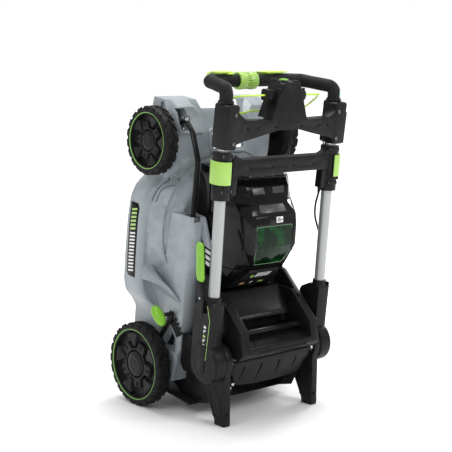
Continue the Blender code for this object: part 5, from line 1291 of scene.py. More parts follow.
class MOWER_OT_brackets(bpy.types.Operator):
    """Fixed side brackets with their feet, and the turning knuckles with the tube sockets"""
    bl_idname = "mower.brackets"
    bl_label = "Brackets and knuckles"

    def execute(self, context):
        for side, sign in (("left", -1), ("right", 1)):
            softened(f"handle_bracket_{side}", "plastic", 0.0028, 3, 50.0)
            softened(f"handle_knuckle_{side}", "plastic", 0.0024, 3, 42.0)
            keep("dark_steel", f"knuckle_pin_{side}")
            # raised panel down the outer face of the leg, and a dark block near its tip painted as the shade of a
            # slot
            leg = [(-0.006, 0.438), (0.022, 0.415), (0.01, 0.388), (-0.064, 0.418), (-0.07, 0.452), (-0.064,
                0.46)]
            for face, out in (("outer", 1), ("rear", -1)):
                x = sign * (0.184 if out > 0 else 0.162)
                piece(f"leg_panel_{face}_{side}", outline_ring(leg, 0.84, 0.0014, x - sign * out * 0.0004,
                    sign * out), "root", "plastic", (), 0.0004, 1)
            slot_shade_block = block((sign * 0.1685, -0.053, 0.464), (sign * 0.1775, -0.044, 0.4712), 0.001)
            piece(f"leg_slot_{side}", slot_shade_block, "root", "label")
            # discs and ticks on the outer face of the knuckle
            x = sign * 0.2274
            rings = []
            for reach, wide, high in ((0.0535, 0.0016, 0.001), (0.04, 0.0014, 0.0009), (0.031, 0.0012,
                    0.0011)):
                profile = [(reach - wide, 0.0), (reach + wide, 0.0), (reach + wide * 0.6, high),
                    (reach - wide * 0.6, high)]
                rings.append(lathe(profile, (x, KNUCKLE.y, KNUCKLE.z), (sign, 0, 0), 64))
            piece(f"knuckle_rings_{side}", join(*rings), "handle", "plastic")
            ticks = []
            for angle in (-150, -115, -80, -45, 150, 115):
                turn = math.radians(angle)
                along = Vector((0, math.cos(turn), math.sin(turn)))
                wide = Vector((0, -math.sin(turn), math.cos(turn))) * 0.0011
                near, far = KNUCKLE + along * 0.0445, KNUCKLE + along * 0.0505
                corners = [near - wide, near + wide, far + wide, far - wide]
                ticks.append(prism([(c.y, c.z) for c in corners], "X", *sorted((x, x + sign * 0.001))))
            piece(f"knuckle_ticks_{side}", join(*ticks), "handle", "label")
            # oblong boss that runs from the arm over the disc
            boss = arc_points((0.08, 0.396), 0.0165, 110, 290, 10) + [(0.15, 0.376), (0.15, 0.411)]
            shape = prism(boss, "X", *sorted((sign * 0.2262, sign * 0.2302)), 0.0)
            piece(f"knuckle_boss_{side}", shape, "handle", "plastic", (), 0.0012, 2)
            # painted shade: a thin dark disc on the boss stands for the dent
            dent_shade = rod((sign * 0.2298, 0.0755, 0.396), (sign * 0.2306, 0.0755, 0.396), 0.0052, 24)
            piece(f"knuckle_dent_{side}", dent_shade, "handle", "label")
            # label strip with a green line along the arm
            x0, x1 = sorted((sign * 0.2268, sign * 0.2279))
            strip = [(0.108, 0.388), (0.108, 0.411), (0.228, 0.415), (0.262, 0.402), (0.245, 0.388)]
            piece(f"arm_label_{side}", prism(strip, "X", x0, x1), "handle", "label", (),
                0.0003, 1)
            x0, x1 = sorted((sign * 0.2278, sign * 0.2284))
            line = [(0.108, 0.412), (0.108, 0.4138), (0.224, 0.4178), (0.266, 0.402), (0.264, 0.4008),
                (0.2235, 0.416)]
            piece(f"arm_line_{side}", prism(line, "X", x0, x1), "handle", "band_green")
            dashes, dots = [], []
            for k in range(7):
                y = 0.118 + 0.0135 * k
                outline = [(y, 0.3945), (y + 0.0085, 0.3945), (y + 0.0085, 0.404), (y + 0.006, 0.404),
                    (y + 0.006, 0.3985), (y, 0.3985)] if k % 2 else [(y, 0.3945), (y + 0.008, 0.3945),
                    (y + 0.006, 0.4035), (y, 0.4035)]
                (dots if k == 4 else dashes).append(prism(outline, "X", x0, x1))
            piece(f"arm_dashes_{side}", join(*dashes), "handle", "print_white")
            piece(f"arm_dot_{side}", join(*dots), "handle", "band_green")
        # zinc bits at the top of the left leg and a bracket hook
        bits = join(block((-0.16, 0.035, 0.452), (-0.15, 0.043, 0.459), 0.0014), block((-0.1612, 0.022,
            0.448), (-0.156, 0.03, 0.4545), 0.0012))
        piece("leg_clips", bits, "root", "zinc")
        # ribbed strip beside the right tube
        comb = [block((0.2255, 0.19 + 0.0098 * k, 0.403), (0.23, 0.1955 + 0.0098 * k, 0.424),
            0.0008) for k in range(9)]
        comb.append(block((0.225, 0.185, 0.402), (0.2288, 0.285, 0.4235), 0.001))
        piece("arm_comb_right", join(*comb), "handle", "plastic")
        return {"FINISHED"}


# ------------------------------------------------------------------ lower handle
def tube_point(sign, y):
    return Vector((sign * TUBE_X, y, tube_z(y)))


def around_tube(sign, y, angle, radius):
    """A place on a ring round a handle tube; 0 degrees is outboard, 90 up."""
    turn = math.radians(angle)
    return tube_point(sign, y) + Vector((sign * radius * math.cos(turn), 0.0, radius * math.sin(turn)))


class MOWER_OT_lower_handle(bpy.types.Operator):
    """Lower tubes, crossbar with its clamps, bolts and green cam levers, and the release lever"""
    bl_idname = "mower.lower_handle"
    bl_label = "Lower handle"

    def execute(self, context):
        softened("lower_crossbar", "plastic", 0.0016, 2, 42.0)
        for side, sign in (("left", -1), ("right", 1)):
            start, end = tube_point(sign, 0.2155), tube_point(sign, 0.6545)
            length = (end - start).length
            profile = [(0.0146, 0.0), (0.0156, 0.0), (0.016, 0.0004), (0.016, length - 0.0004), (0.0156,
                length), (0.0146, length)]
            tube = lathe(profile, start, TUBE_DIRECTION, 48)
            piece(f"tube_lower_{side}", tube, "handle", "tube", [f"lower_tube_{side}"])
            # clamp lever with thickness, rounded edges and a lip
            sections = []
            for k in range(15):
                angle = -40 + 144 * k / 14
                inner, outer = 0.0287, 0.0328 + (0.0006 if 2 < k < 12 else 0.0)
                ring = [around_tube(sign, 0.6102, angle, inner), around_tube(sign, 0.6738, angle, inner),
                    around_tube(sign, 0.6738, angle, outer - 0.0008), around_tube(sign, 0.6728, angle, outer),
                    around_tube(sign, 0.6112, angle, outer), around_tube(sign, 0.6102, angle, outer - 0.0008)]
                sections.append(ring)
            piece(f"cam_band_{side}", loft(sections), f"cam_lever_{side}", "band_green",
                [f"cam_lever_{side}"], 0.0005, 1, 50.0)
            stop = lathe([(0.0, 0.0), (0.005, 0.0), (0.0058, 0.001), (0.0058, 0.004), (0.0045, 0.0055), (0.0,
                0.0055)], around_tube(sign, 0.603, 40, 0.0258), around_tube(sign, 0.603, 40,
                1.0) - tube_point(sign, 0.603), 20)
            piece(f"clamp_stop_{side}", stop, "handle", "plastic")
            # bolt bosses on the clamps, above and below the band
            for place, y in (("front", 0.688), ("rear", 0.59)):
                centre = tube_point(sign, y) + Vector((0.0, 0.0, 0.0195))
                inboard = centre - Vector((sign * 0.017, 0, 0))
                outboard = centre + Vector((sign * 0.015, 0, 0))
                boss = rod(inboard, outboard, 0.0072, 20, 0.0015)
                piece(f"clamp_boss_{place}_{side}", boss, "handle", "plastic")
                head = star_screw(outboard + Vector((sign * 0.0002, 0, 0)), (sign, 0, 0), 0.0052)
                piece(f"clamp_bolt_{place}_{side}", head, "handle", "dark_steel")
                nut = lathe([(0.0, 0.0), (0.005, 0.0), (0.005, 0.0026), (0.0, 0.0026)], inboard, (-sign, 0,
                    0), 6)
                piece(f"clamp_nut_{place}_{side}", nut, "handle", "dark_steel")
            # gusset and hanging block between the clamp and the bar
            web = [(sign * 0.15, 0.674), (sign * 0.15, 0.676), (sign * 0.178, 0.69), (sign * 0.186, 0.69),
                (sign * 0.186, 0.674)]
            piece(f"clamp_gusset_{side}", prism(web, "Z", 0.379, 0.402), "handle", "plastic",
                (), 0.0012, 2)
            shield = [(sign * 0.164, 0.579), (sign * 0.164, 0.633), (sign * 0.185, 0.633), (sign * 0.185,
                0.587), (sign * 0.18, 0.576), (sign * 0.169, 0.574)]
            piece(f"clamp_shield_{side}", prism(shield, "Z", 0.3965, 0.402), "handle", "plastic", (), 0.0012, 2)
        # recessed bolts in the bar
        for k, x in enumerate((-0.123, -0.041, 0.041, 0.123)):
            bolt = star_screw((x, 0.6518, 0.4), (0, 0, 1), 0.003)
            piece(f"bar_bolt_{k + 1}", bolt, "handle", "dark_steel")
        softened("release_stem", "plastic", 0.001, 2)
        softened("release_grip", "green", 0.001, 2, 50.0)
        ribs = [sweep([Vector((-0.2402, 0.345 + 0.0085 * k, 0.36)), Vector((-0.2402, 0.345 + 0.0085 * k,
            0.372))], 0.001, 8) for k in range(10)]
        piece("release_grip_ribs", join(*ribs), "release_lever", "green")
        keep("zinc", "release_pin")
        return {"FINISHED"}


# ------------------------------------------------------------------ upper handle and its controls
def grip_path(start_y, steps=6):
    elbow_y, bar_y, bar_z, corner = 0.868, 0.8705, 0.256, 0.176
    left = [Vector((-TUBE_X, start_y, tube_z(start_y))), Vector((-TUBE_X, elbow_y, tube_z(elbow_y))),
        Vector((-corner, bar_y, bar_z))]
    right = [Vector((-p.x, p.y, p.z)) for p in reversed(left)]
    return round_corners(left + right, 0.022, steps)


def resampled(path, step):
    """The same path with points at an even spacing."""
    points = [path[0]]
    for first, second in zip(path, path[1:]):
        gap = (second - first).length
        count = max(1, round(gap / step))
        points += [first.lerp(second, k / count) for k in range(1, count + 1)]
    return points


class MOWER_OT_upper_handle(bpy.types.Operator):
    """Sliding tube, padded grip with fat elbows, bracket with its screws and gussets"""
    bl_idname = "mower.upper_handle"
    bl_label = "Upper handle"

    def execute(self, context):
        path = resampled(grip_path(0.3105), 0.03)
        piece("tube_sliding", sweep(path, 0.014, 32), "upper_handle", "tube", ["sliding_tube"])
        path = resampled(grip_path(0.8225), 0.006)
        dial_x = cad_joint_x("speed_dial")
        radii = []
        for point in path:
            fat = 0.0176
            side = abs(point.x)
            fat += 0.0012 * smoothstep(0.15, 0.185, side) * smoothstep(0.25, 0.33, point.z)
            fat += 0.0018 * (1 - smoothstep(0.0, 0.035, abs(side - 0.176))) * (1 - smoothstep(0.256, 0.3,
                point.z))
            if point.x > 0:
                fat += 0.0022 * smoothstep(0.06, 0.09, point.x) * (1 - smoothstep(0.135, 0.165, point.x))
            near_dial = 1 - smoothstep(0.034, 0.046, abs(point.x - dial_x))
            fat = fat * (1 - near_dial) + 0.0172 * near_dial
            radii.append(fat)
        piece("grip_foam", sweep(path, 0.0175, 40, radii=radii), "upper_handle", "foam",
            ["grip_sleeve"], 0.0, 1, 60.0)
        softened("upper_bracket", "plastic", 0.0022, 3, 42.0)
        for side, sign in (("left", -1), ("right", 1)):
            for place, y in (("front", 0.802), ("rear", 0.723)):
                screw = star_screw((sign * 0.1975, y, 0.4112), (0, 0, 1), 0.0052)
                piece(f"socket_screw_{place}_{side}", screw, "upper_handle", "dark_steel")
                dish = lathe([(0.0056, 0.0), (0.0082, 0.0), (0.0078, 0.0012), (0.006, 0.0012)],
                    (sign * 0.1975, y, 0.4112), (0, 0, 1), 28)
                piece(f"socket_dish_{place}_{side}", dish, "upper_handle", "plastic")
            neck = lathe([(0.018, 0.0), (0.0212, 0.0), (0.0222, 0.002), (0.0222, 0.007), (0.0212, 0.0085),
                (0.018, 0.0085)], tube_point(sign, 0.827), TUBE_DIRECTION, 40)
            piece(f"socket_collar_{side}", neck, "upper_handle", "plastic", (), 0.0005, 1)
            pin = lathe([(0.0141, 0.0), (0.017, 0.0), (0.0178, 0.0008), (0.0178, 0.003), (0.0141, 0.003)],
                tube_point(sign, 0.701), TUBE_DIRECTION, 40)
            piece(f"tube_washer_{side}", pin, "upper_handle", "zinc")
            gusset = [(sign * 0.156, 0.786), (sign * 0.186, 0.806), (sign * 0.186, 0.782)]
            piece(f"socket_gusset_{side}", prism(gusset, "Z", 0.38, 0.4095), "upper_handle", "plastic", (), 0.0014, 2)
            for k, x in enumerate((0.153, 0.116, 0.05)):
                piece(f"bracket_bolt_{k + 1}_{side}", star_screw((sign * x, 0.7654, 0.4066), (0, 0, 1),
                    0.003), "upper_handle", "dark_steel")
            # boxy ear round the pivot of the bail
            ear = [(0.833, 0.361), (0.833, 0.39), (0.838, 0.395), (0.86, 0.395), (0.865, 0.39), (0.865,
                0.361), (0.86, 0.357), (0.838, 0.357)]
            shape = prism(ear, "X", *sorted((sign * 0.049, sign * 0.069)))
            shape = carve(shape, rod((sign * 0.03, 0.849, 0.378), (sign * 0.09, 0.849, 0.378), 0.0045, 20))
            piece(f"bail_ear_{side}", shape, "upper_handle", "plastic", (), 0.0022, 3)
            for k, y in enumerate((0.8285, 0.8695)):
                lug = rod((sign * 0.046, y, 0.403), (sign * 0.046, y, 0.41), 0.0036, 16, 0.0008)
                piece(f"ear_lug_{k + 1}_{side}", lug, "upper_handle", "label")
        # hook and loop under the right socket
        hook = smooth_path([(0.171, 0.722, 0.386), (0.17, 0.712, 0.386), (0.172, 0.7035, 0.386), (0.1775,
            0.7005, 0.386), (0.1815, 0.7045, 0.386), (0.1815, 0.7095, 0.386)], 5)
        piece("cable_hook", sweep(hook, 0.002, 12), "upper_handle", "plastic")
        # chamfered cheeks of the switch housing and the recess on top
        cheeks = []
        for sign in (-1, 1):
            outline = [(sign * 0.06, 0.79), (sign * 0.064, 0.79), (sign * 0.033, 0.883), (sign * 0.029,
                0.886)]
            cheeks.append(prism(outline if sign > 0 else outline[::-1], "Z", 0.388, 0.4085))
        piece("switch_cheeks", join(*cheeks), "upper_handle", "plastic", (), 0.0012, 2)
        posts = join(block((-0.026, 0.884, 0.388), (-0.015, 0.8925, 0.406), 0.0016), block((0.015, 0.884,
            0.388), (0.026, 0.8925, 0.406), 0.0016), block((-0.026, 0.884, 0.352), (-0.015, 0.8915, 0.364),
            0.0016), block((0.015, 0.884, 0.352), (0.026, 0.8915, 0.364), 0.0016))
        piece("switch_posts", posts, "upper_handle", "plastic")
        softened("start_button", "green", 0.0012, 2)
        # narrow sticker on the right elbow, plain colours
        for name, angle, finish, slot in (("white", 62, "print_white", "steel"), ("teal", 76, "print_teal",
                "green_plastic")):
            sections = []
            for y in (0.838, 0.844, 0.85, 0.856, 0.86):
                fat = 0.0189
                sections.append([around_tube(1, y, angle - 5, fat), around_tube(1, y, angle + 5, fat),
                    around_tube(1, y, angle + 5, fat - 0.0015), around_tube(1, y, angle - 5, fat - 0.0015)])
            piece(f"elbow_sticker_{name}", loft(sections), "upper_handle", finish)
        return {"FINISHED"}


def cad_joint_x(name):
    """x of a joint in the mowing frame."""
    return (STAND.inverted() @ JOINT_AT[name]).x


BAIL_ROUTE = [(-0.045, 0.849, 0.378), (-0.079, 0.849, 0.378), (-0.15, 0.846, 0.366), (-0.174, 0.832, 0.335),
    (-0.177, 0.806, 0.302), (-0.15, 0.791, 0.302), (-0.095, 0.789, 0.318), (-0.068, 0.797, 0.328), (-0.02,
    0.797, 0.328),]


class MOWER_OT_controls(bpy.types.Operator):
    """Wire bail, thumb paddles and the speed dial"""
    bl_idname = "mower.controls"
    bl_label = "Controls"

    def execute(self, context):
        loop = [Vector(p) for p in BAIL_ROUTE] + [Vector((-x, y, z)) for x, y, z in reversed(BAIL_ROUTE)]
        wire = sweep(round_corners(loop, 0.009, 6), 0.0026, 16)
        piece("bail_wire", wire, "power_bail", "wire_green", ["power_bail"])
        shaft = STAND.inverted() @ JOINT_AT["drive_bail"]
        parts = [rod((-0.15, shaft.y, shaft.z), (0.122, shaft.y, shaft.z), 0.003, 16)]
        for low, high in ((-0.158, -0.086), (0.016, 0.126)):
            sections = []
            steps = 14
            for k in range(steps + 1):
                share = k / steps
                x = low + (high - low) * share
                pinch = 1.0 - 0.55 * max(0.0, abs(share - 0.5) * 2 - 0.7) / 0.3
                reach = 0.001 * math.sin(share * math.pi)
                sections.append([Vector((x, shaft.y - 0.003, shaft.z - 0.003)), Vector((x, shaft.y + 0.003,
                    shaft.z - 0.003)), Vector((x, 0.895 + reach, 0.242)), Vector((x, 0.8955 + reach,
                    0.243 + 0.0225 * pinch)), Vector((x, 0.8936, 0.243 + 0.0225 * pinch)), Vector((x, 0.8922,
                    0.243))])
            parts.append(loft(sections))
        piece("drive_paddles", join(*parts), "drive_bail", "wire_green", ["drive_bail"], 0.0006,
            2)
        dial_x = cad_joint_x("speed_dial")
        centre = (dial_x, 0.8705, 0.256)
        base = [(0.0181, -0.033), (0.0232, -0.033), (0.0246, -0.0318), (0.0249, -0.029), (0.0249, -0.0125),
            (0.0236, -0.0095), (0.0236, 0.0095), (0.0249, 0.0125), (0.0249, 0.029), (0.0246, 0.0318), (0.0232,
            0.033), (0.0181, 0.033)]
        ring = lathe(base, centre, (1, 0, 0), 72)
        ribs = []
        for row in (-0.0212, 0.0212):
            for k in range(20):
                turn = 2 * math.pi * k / 20
                along = Vector((0, math.cos(turn), math.sin(turn)))
                across = Vector((0, -math.sin(turn), math.cos(turn)))
                ring_points = []
                for x, reach in ((-0.0088, 0.024), (-0.0072, 0.02545), (0.0072, 0.02545), (0.0088, 0.024)):
                    ring_points.append(Vector(centre) + Vector((row + x, 0, 0)) + along * reach)
                ribs.append(loft([[p - across * 0.0019 for p in ring_points],
                    [p + across * 0.0019 for p in ring_points]]))
        piece("dial_ring", join(ring, *ribs), "speed_dial", "band_green", ["speed_dial"],
            0.0005, 1, 45.0)
        # painted shade: darker green patches between the dial's ribs stand for the shade in its slots
        slot_shade_patches = []
        for row in (-0.004, 0.004):
            for k in range(20):
                turn = 2 * math.pi * (k + 0.5) / 20
                along = Vector((0, math.cos(turn), math.sin(turn)))
                across = Vector((0, -math.sin(turn), math.cos(turn))) * 0.0016
                near = Vector(centre) + Vector((row, 0, 0)) + along * 0.023
                box = []
                for lift in (0.0, 0.00085):
                    box.append([near + along * lift + Vector((dx, 0, 0)) + across * s for dx, s in ((-0.0022,
                        -1), (0.0022, -1), (0.0022, 1), (-0.0022, 1))])
                slot_shade_patches.append(loft(box))
        piece("dial_slots", join(*slot_shade_patches), "speed_dial", "slot_green")
        return {"FINISHED"}


# ------------------------------------------------------------------ height linkage, motor and blade
class MOWER_OT_linkage(bpy.types.Operator):
    """Crank axles, link rod with its pins and spring, and the height lever"""
    bl_idname = "mower.linkage"
    bl_label = "Height linkage"

    def execute(self, context):
        softened("rear_crank_axle", "dark_steel", 0.0006, 1)
        softened("front_crank_axle", "dark_steel", 0.0006, 1)
        softened("link_rod", "frame_plastic", 0.0014, 2)
        softened("height_lever", "plastic", 0.001, 2)
        softened("height_quadrant", "plastic", 0.0006, 1)
        knob_at = Vector((-0.2552, 0.184, 0.222))
        profile = []
        for step in range(25):
            angle = math.pi * step / 24
            profile.append((0.0164 * math.sin(angle) ** 0.7 if 0 < step < 24 else 0.0,
                -0.0339 * math.cos(angle)))
        knob = lathe(profile, knob_at, (0.0, -0.6, 0.8), 48)
        knob = carve(knob, rod((-0.2417, knob_at.y, knob_at.z), (-0.2, knob_at.y, knob_at.z), 0.0063, 24))
        piece("height_knob_grip", knob, "rear_axle", "green", ["height_knob"], 0.0, 1, 60.0)
        pin = Vector((LINK_X - 0.0088, FRONT_AXLE.y + 0.0245, FRONT_AXLE.z + 0.034))
        head = [(0.0, 0.0), (0.0052, 0.0), (0.0062, 0.0008), (0.0062, 0.0016), (0.0044, 0.0026), (0.0,
            0.0032)]
        piece("link_pin_head", lathe(head, pin, (-1, 0, 0), 28), "front_axle", "zinc")
        up = Vector((0.0, 0.0, 1.0))
        cap = lathe([(0.0, 0.0), (0.006, 0.0), (0.0072, 0.0006), (0.0072, 0.0012), (0.0046, 0.0022), (0.0,
            0.0026)], Vector((LINK_X, pin.y, pin.z + 0.0076)), up, 28)
        piece("link_eye_cap", cap, "link_rod", "zinc")
        coil = [Vector((LINK_X + 0.01 + 0.0011 * k / 10, pin.y + 0.0058 * math.cos(k * 0.63),
            pin.z + 0.0058 * math.sin(k * 0.63))) for k in range(48)]
        piece("link_spring", sweep(coil, 0.0008, 8), "front_axle", "dark_steel")
        wire = [Vector((LINK_X - 0.002, pin.y + 0.004, pin.z + 0.01)), Vector((LINK_X - 0.004, pin.y + 0.018,
            pin.z + 0.008)), Vector((LINK_X - 0.006, pin.y + 0.03, pin.z - 0.002))]
        piece("link_clip", sweep(smooth_path(wire, 5), 0.0009, 8), "link_rod", "dark_steel")
        return {"FINISHED"}


class MOWER_OT_motor(bpy.types.Operator):
    """Motor, spindle and blade under the deck"""
    bl_idname = "mower.motor"
    bl_label = "Motor and blade"

    def execute(self, context):
        keep("winding", "motor_stator")
        keep("zinc", "spindle_bearing", "rotor_shaft", "blade_nut")
        softened("blade", "dark_steel", 0.0004, 1)
        return {"FINISHED"}


CABLE_ROUTE = [(0.1755, 0.5735, 0.387), (0.1757, 0.555, 0.3855), (0.179, 0.52, 0.376), (0.19, 0.48, 0.369),
    (0.21, 0.44, 0.368), (0.225, 0.4, 0.374), (0.232, 0.36, 0.383), (0.2325, 0.325, 0.386), (0.229, 0.3,
    0.3845), (0.2245, 0.286, 0.3835), (0.2232, 0.2767, 0.383),]


class MOWER_OT_cable(bpy.types.Operator):
    """Control lead clipped along the right tube"""
    bl_idname = "mower.cable"
    bl_label = "Control lead"

    def execute(self, context):
        points = [STAND @ p for p in smooth_path(CABLE_ROUTE, 3)]
        curve = bpy.data.curves.new("control_lead", "CURVE")
        curve.dimensions = "3D"
        curve.bevel_depth = 0.003
        curve.bevel_resolution = 4
        curve.use_fill_caps = True
        spline = curve.splines.new("POLY")
        spline.points.add(len(points) - 1)
        for slot, point in zip(spline.points, points):
            slot.co = (*point, 1.0)
        curve.materials.append(FINISHES["tyre"])
        lead = bpy.data.objects.new("control_lead", curve)
        context.scene.collection.objects.link(lead)
        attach(lead, "handle")
        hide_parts("control_cable")
        boot = smooth_path(CABLE_ROUTE, 3)[:4]
        start = Vector(boot[0])
        relief = lathe([(0.0031, 0.0), (0.0058, 0.0), (0.0052, 0.01), (0.0036, 0.02), (0.0031, 0.02)],
            start + Vector((0.0, 0.004, 0.0)), Vector(boot[3]) - start, 20)
        piece("lead_relief", relief, "handle", "tyre")
        return {"FINISHED"}


# ------------------------------------------------------------------ finishes and stage
class MOWER_OT_finishes(bpy.types.Operator):
    """Build every surface finish used on the mower"""
    bl_idname = "mower.finishes"
    bl_label = "Finishes"

    def execute(self, context):
        make_finishes(context.scene.mower_colours)
        return {"FINISHED"}


def add_area(name, place, aim, size, power, colour=(1.0, 1.0, 1.0)):
    light = bpy.data.lights.new(name, "AREA")
    light.shape = "RECTANGLE"
    light.size, light.size_y = size
    light.energy = power
    light.color = colour
    lamp = bpy.data.objects.new(name, light)
    lamp.location = place
    lamp.rotation_euler = (Vector(aim) - Vector(place)).to_track_quat("-Z", "Y").to_euler()
    bpy.context.scene.collection.objects.link(lamp)
    return lamp


class MOWER_OT_stage(bpy.types.Operator):
    """Plain pale floor, soft studio light and the camera"""
    bl_idname = "mower.stage"
    bl_label = "Stage"

    def execute(self, context):
        scene = context.scene
        bm = bmesh.new()
        reach = 14.0
        bm.faces.new([bm.verts.new((x * reach, y * reach, 0.0)) for x, y in ((-1, -1), (1, -1), (1, 1), (-1,
            1))])
        mesh = bpy.data.meshes.new("studio_floor")
        bm.to_mesh(mesh)
        bm.free()
        floor = bpy.data.objects.new("studio_floor", mesh)
        scene.collection.objects.link(floor)
        material = bpy.data.materials.new("studio_floor")
        material.use_nodes = True
        tree = material.node_tree
        shader = tree.nodes["Principled BSDF"]
        shader.inputs["Roughness"].default_value = 0.75
        place = tree.nodes.new("ShaderNodeTexCoord")
        slow = noise_node(tree, 1.2, 2.0)
        tree.links.new(place.outputs["Object"], slow.inputs["Vector"])
        tone = colour_mix(tree, (0.9, 0.9, 0.9), (0.92, 0.92, 0.92), slow.outputs["Fac"])
        tree.links.new(tone, shader.inputs["Base Color"])
        far = tree.nodes.new("ShaderNodeVectorMath")
        far.operation = "LENGTH"
        tree.links.new(place.outputs["Object"], far.inputs[0])
        glow = tree.nodes.new("ShaderNodeMapRange")
        glow.inputs["From Min"].default_value = 0.9
        glow.inputs["From Max"].default_value = 3.2
        tree.links.new(far.outputs["Value"], glow.inputs["Value"])
        tree.links.new(glow.outputs["Result"], shader.inputs["Emission Color"])
        shader.inputs["Emission Strength"].default_value = 0.8
        mesh.materials.append(material)

        world = bpy.data.worlds.new("studio")
        scene.world = world
        scene.view_settings.view_transform = "Standard"
        world.use_nodes = True
        background = world.node_tree.nodes["Background"]
        background.inputs["Color"].default_value = (1.0, 1.0, 1.0, 1.0)
        background.inputs["Strength"].default_value = 0.55
        seen = world.node_tree.nodes.new("ShaderNodeBackground")
        seen.inputs["Color"].default_value = (1.0, 1.0, 1.0, 1.0)
        ray = world.node_tree.nodes.new("ShaderNodeLightPath")
        blend = world.node_tree.nodes.new("ShaderNodeMixShader")
        link = world.node_tree.links.new
        link(ray.outputs["Is Camera Ray"], blend.inputs[0])
        link(background.outputs[0], blend.inputs[1])
        link(seen.outputs[0], blend.inputs[2])
        link(blend.outputs[0], world.node_tree.nodes["World Output"].inputs["Surface"])
        add_area("key", (-2.7, -0.3, 2.6), (0.0, 0.0, 0.55), (1.6, 1.4), 24.0)
        add_area("front", (0.9, -3.0, 2.7), (0.0, 0.0, 0.5), (1.6, 1.2), 62.0)
        add_area("top", (0.2, 0.6, 3.2), (0.0, 0.0, 0.4), (2.2, 1.6), 70.0)
        add_area("rim", (2.6, 0.6, 1.5), (0.0, 0.0, 0.5), (0.8, 1.8), 40.0)

        camera_data = bpy.data.cameras.new("camera")
        camera_data.sensor_width = 36.0
        camera_data.lens = 92.63
        camera_data.clip_end = 60.0
        camera = bpy.data.objects.new("camera", camera_data)
        turn, drop, roll = math.radians(-40.75), math.radians(8.74), math.radians(0.787)
        back = Vector((math.sin(turn) * math.cos(drop), -math.cos(turn) * math.cos(drop), math.sin(drop)))
        right = (-back).cross(Vector((0.0, 0.0, 1.0))).normalized()
        up = right.cross(-back)
        across = math.cos(roll) * right + math.sin(roll) * up
        rise = -math.sin(roll) * right + math.cos(roll) * up
        camera.matrix_world = Matrix(((across.x, rise.x, back.x, -2.2459), (across.y, rise.y, back.y,
            -2.5959), (across.z, rise.z, back.z, 1.0653), (0.0, 0.0, 0.0, 1.0)))
        scene.collection.objects.link(camera)
        scene.camera = camera
        return {"FINISHED"}


# ------------------------------------------------------------------ settings, panel and main
class MowerSizes(bpy.types.PropertyGroup):
    lugs: IntProperty(name="Tread lugs", description="Lugs in each row of a rear tyre", default=22, min=8,
        max=60)
    lug_height: FloatProperty(name="Lug height", description="How far the lugs stand over the casing",
        default=0.0036, min=0.001, max=0.01, unit="LENGTH")
    deck_step: FloatProperty(name="Deck mesh step", description="Spacing of the deck's cross-sections",
        default=0.0065, min=0.002, max=0.03, unit="LENGTH")
    deck_round: FloatProperty(name="Deck edge rounding", description="Radius on the deck's sharp edges",
        default=0.0016, min=0.0, max=0.005, unit="LENGTH")
    edge_round: FloatProperty(name="Edge rounding", description="Radius on the edges of moulded covers",
        default=0.0012, min=0.0, max=0.005, unit="LENGTH")


def colour_setting(label, about, value):
    return FloatVectorProperty(name=label, description=about, default=value, min=0.0, max=1.0, size=3,
        subtype="COLOR")


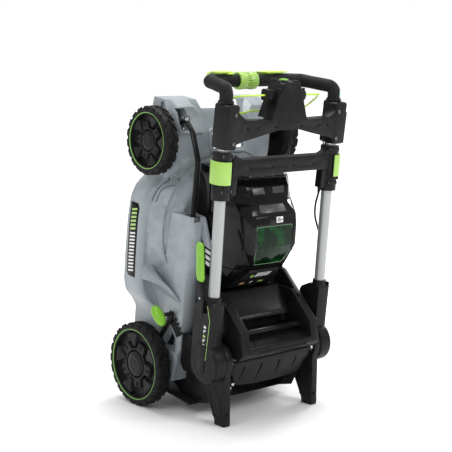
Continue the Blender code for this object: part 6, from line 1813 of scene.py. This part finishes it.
class MowerColours(bpy.types.PropertyGroup):
    deck: colour_setting("Deck", "Satin grey of the deck", (0.232, 0.262, 0.286))
    moulding: colour_setting("Mouldings", "Black of the textured mouldings", (0.0062, 0.0062, 0.0066))
    gloss: colour_setting("Cover", "Black of the glossy cover", (0.0024, 0.0024, 0.0027))
    rubber: colour_setting("Tyres", "Black of the tyres and the lead", (0.007, 0.007, 0.0072))
    foam: colour_setting("Grip", "Black of the padded grip", (0.0085, 0.0085, 0.0088))
    accent: colour_setting("Levers", "Green of the knob and release lever", (0.165, 0.42, 0.01))
    band: colour_setting("Bands", "Lighter green of the clamp bands and dial", (0.3, 0.52, 0.085))
    wire: colour_setting("Bail", "Yellow-green of the wire bail", (0.48, 0.74, 0.03))
    ring: colour_setting("Wheel rings", "Pale green of the wheel rings", (0.16, 0.38, 0.06))
    metal: colour_setting("Bright metal", "Zinc of pins and small springs", (0.48, 0.485, 0.49))
    dark_metal: colour_setting("Dark metal", "Dark steel of bolts, axles and blade", (0.07, 0.071, 0.075))
    label: colour_setting("Label ground", "Black of plates and labels", (0.0026, 0.0026, 0.0028))
    print_white: colour_setting("White marks", "White of stickers and printed bars", (0.7, 0.705, 0.71))
    print_orange: colour_setting("Orange marks", "Orange of printed marks", (0.56, 0.27, 0.11))
    print_teal: colour_setting("Teal marks", "Teal of the elbow sticker", (0.03, 0.26, 0.23))
    winding: colour_setting("Winding", "Bare metal of the motor winding", (0.42, 0.17, 0.07))
    # olive grey painted on the lid's facet and band and on the recess rims, as reflection and highlight
    facet: colour_setting("Satin facets", "Olive grey of the satin facets", (0.016, 0.015, 0.012))
    # warm colour painted along the door's lip as a highlight
    gold: colour_setting("Door edge", "Thin warm edge of the door", (0.2, 0.15, 0.06))
    slot: colour_setting("Dial slots", "Shaded green inside the dial's slots", (0.075, 0.16, 0.022))
    shade: colour_setting("Deck grooves", "Shaded grey inside the deck's grooves", (0.07, 0.085, 0.098))
    # lighter green painted along the window's edges as a highlight
    pane_edge_highlight: colour_setting("Window edge", "Lighter green along the window's edges", (0.06, 0.15, 0.06))


class MOWER_PT_panel(bpy.types.Panel):
    bl_idname = "MOWER_PT_panel"
    bl_label = "Folded mower"
    bl_space_type = "VIEW_3D"
    bl_region_type = "UI"
    bl_category = "Mower"

    def draw(self, context):
        layout = self.layout
        for settings in (context.scene.mower_sizes, context.scene.mower_colours):
            column = layout.column(align=True)
            for key in settings.bl_rna.properties.keys():
                if key not in ("rna_type", "name"):
                    column.prop(settings, key)
        for operator in STEPS:
            layout.operator(operator.bl_idname)


STEPS = (MOWER_OT_finishes, MOWER_OT_cable, MOWER_OT_wheels, MOWER_OT_deck, MOWER_OT_cover, MOWER_OT_chute,
    MOWER_OT_brackets, MOWER_OT_lower_handle, MOWER_OT_upper_handle, MOWER_OT_controls, MOWER_OT_linkage,
    MOWER_OT_motor, MOWER_OT_stage)
CLASSES = (MowerSizes, MowerColours) + STEPS + (MOWER_PT_panel,)


def register():
    for item in CLASSES:
        bpy.utils.register_class(item)
    bpy.types.Scene.mower_sizes = PointerProperty(type=MowerSizes)
    bpy.types.Scene.mower_colours = PointerProperty(type=MowerColours)


def unregister():
    del bpy.types.Scene.mower_sizes
    del bpy.types.Scene.mower_colours
    for item in reversed(CLASSES):
        bpy.utils.unregister_class(item)


def main():
    register()
    bpy.ops.mower.finishes()
    bpy.ops.mower.cable()
    bpy.ops.mower.wheels()
    bpy.ops.mower.deck()
    bpy.ops.mower.cover()
    bpy.ops.mower.chute()
    bpy.ops.mower.brackets()
    bpy.ops.mower.lower_handle()
    bpy.ops.mower.upper_handle()
    bpy.ops.mower.controls()
    bpy.ops.mower.linkage()
    bpy.ops.mower.motor()
    bpy.ops.mower.stage()


if __name__ == "__main__":
    main()
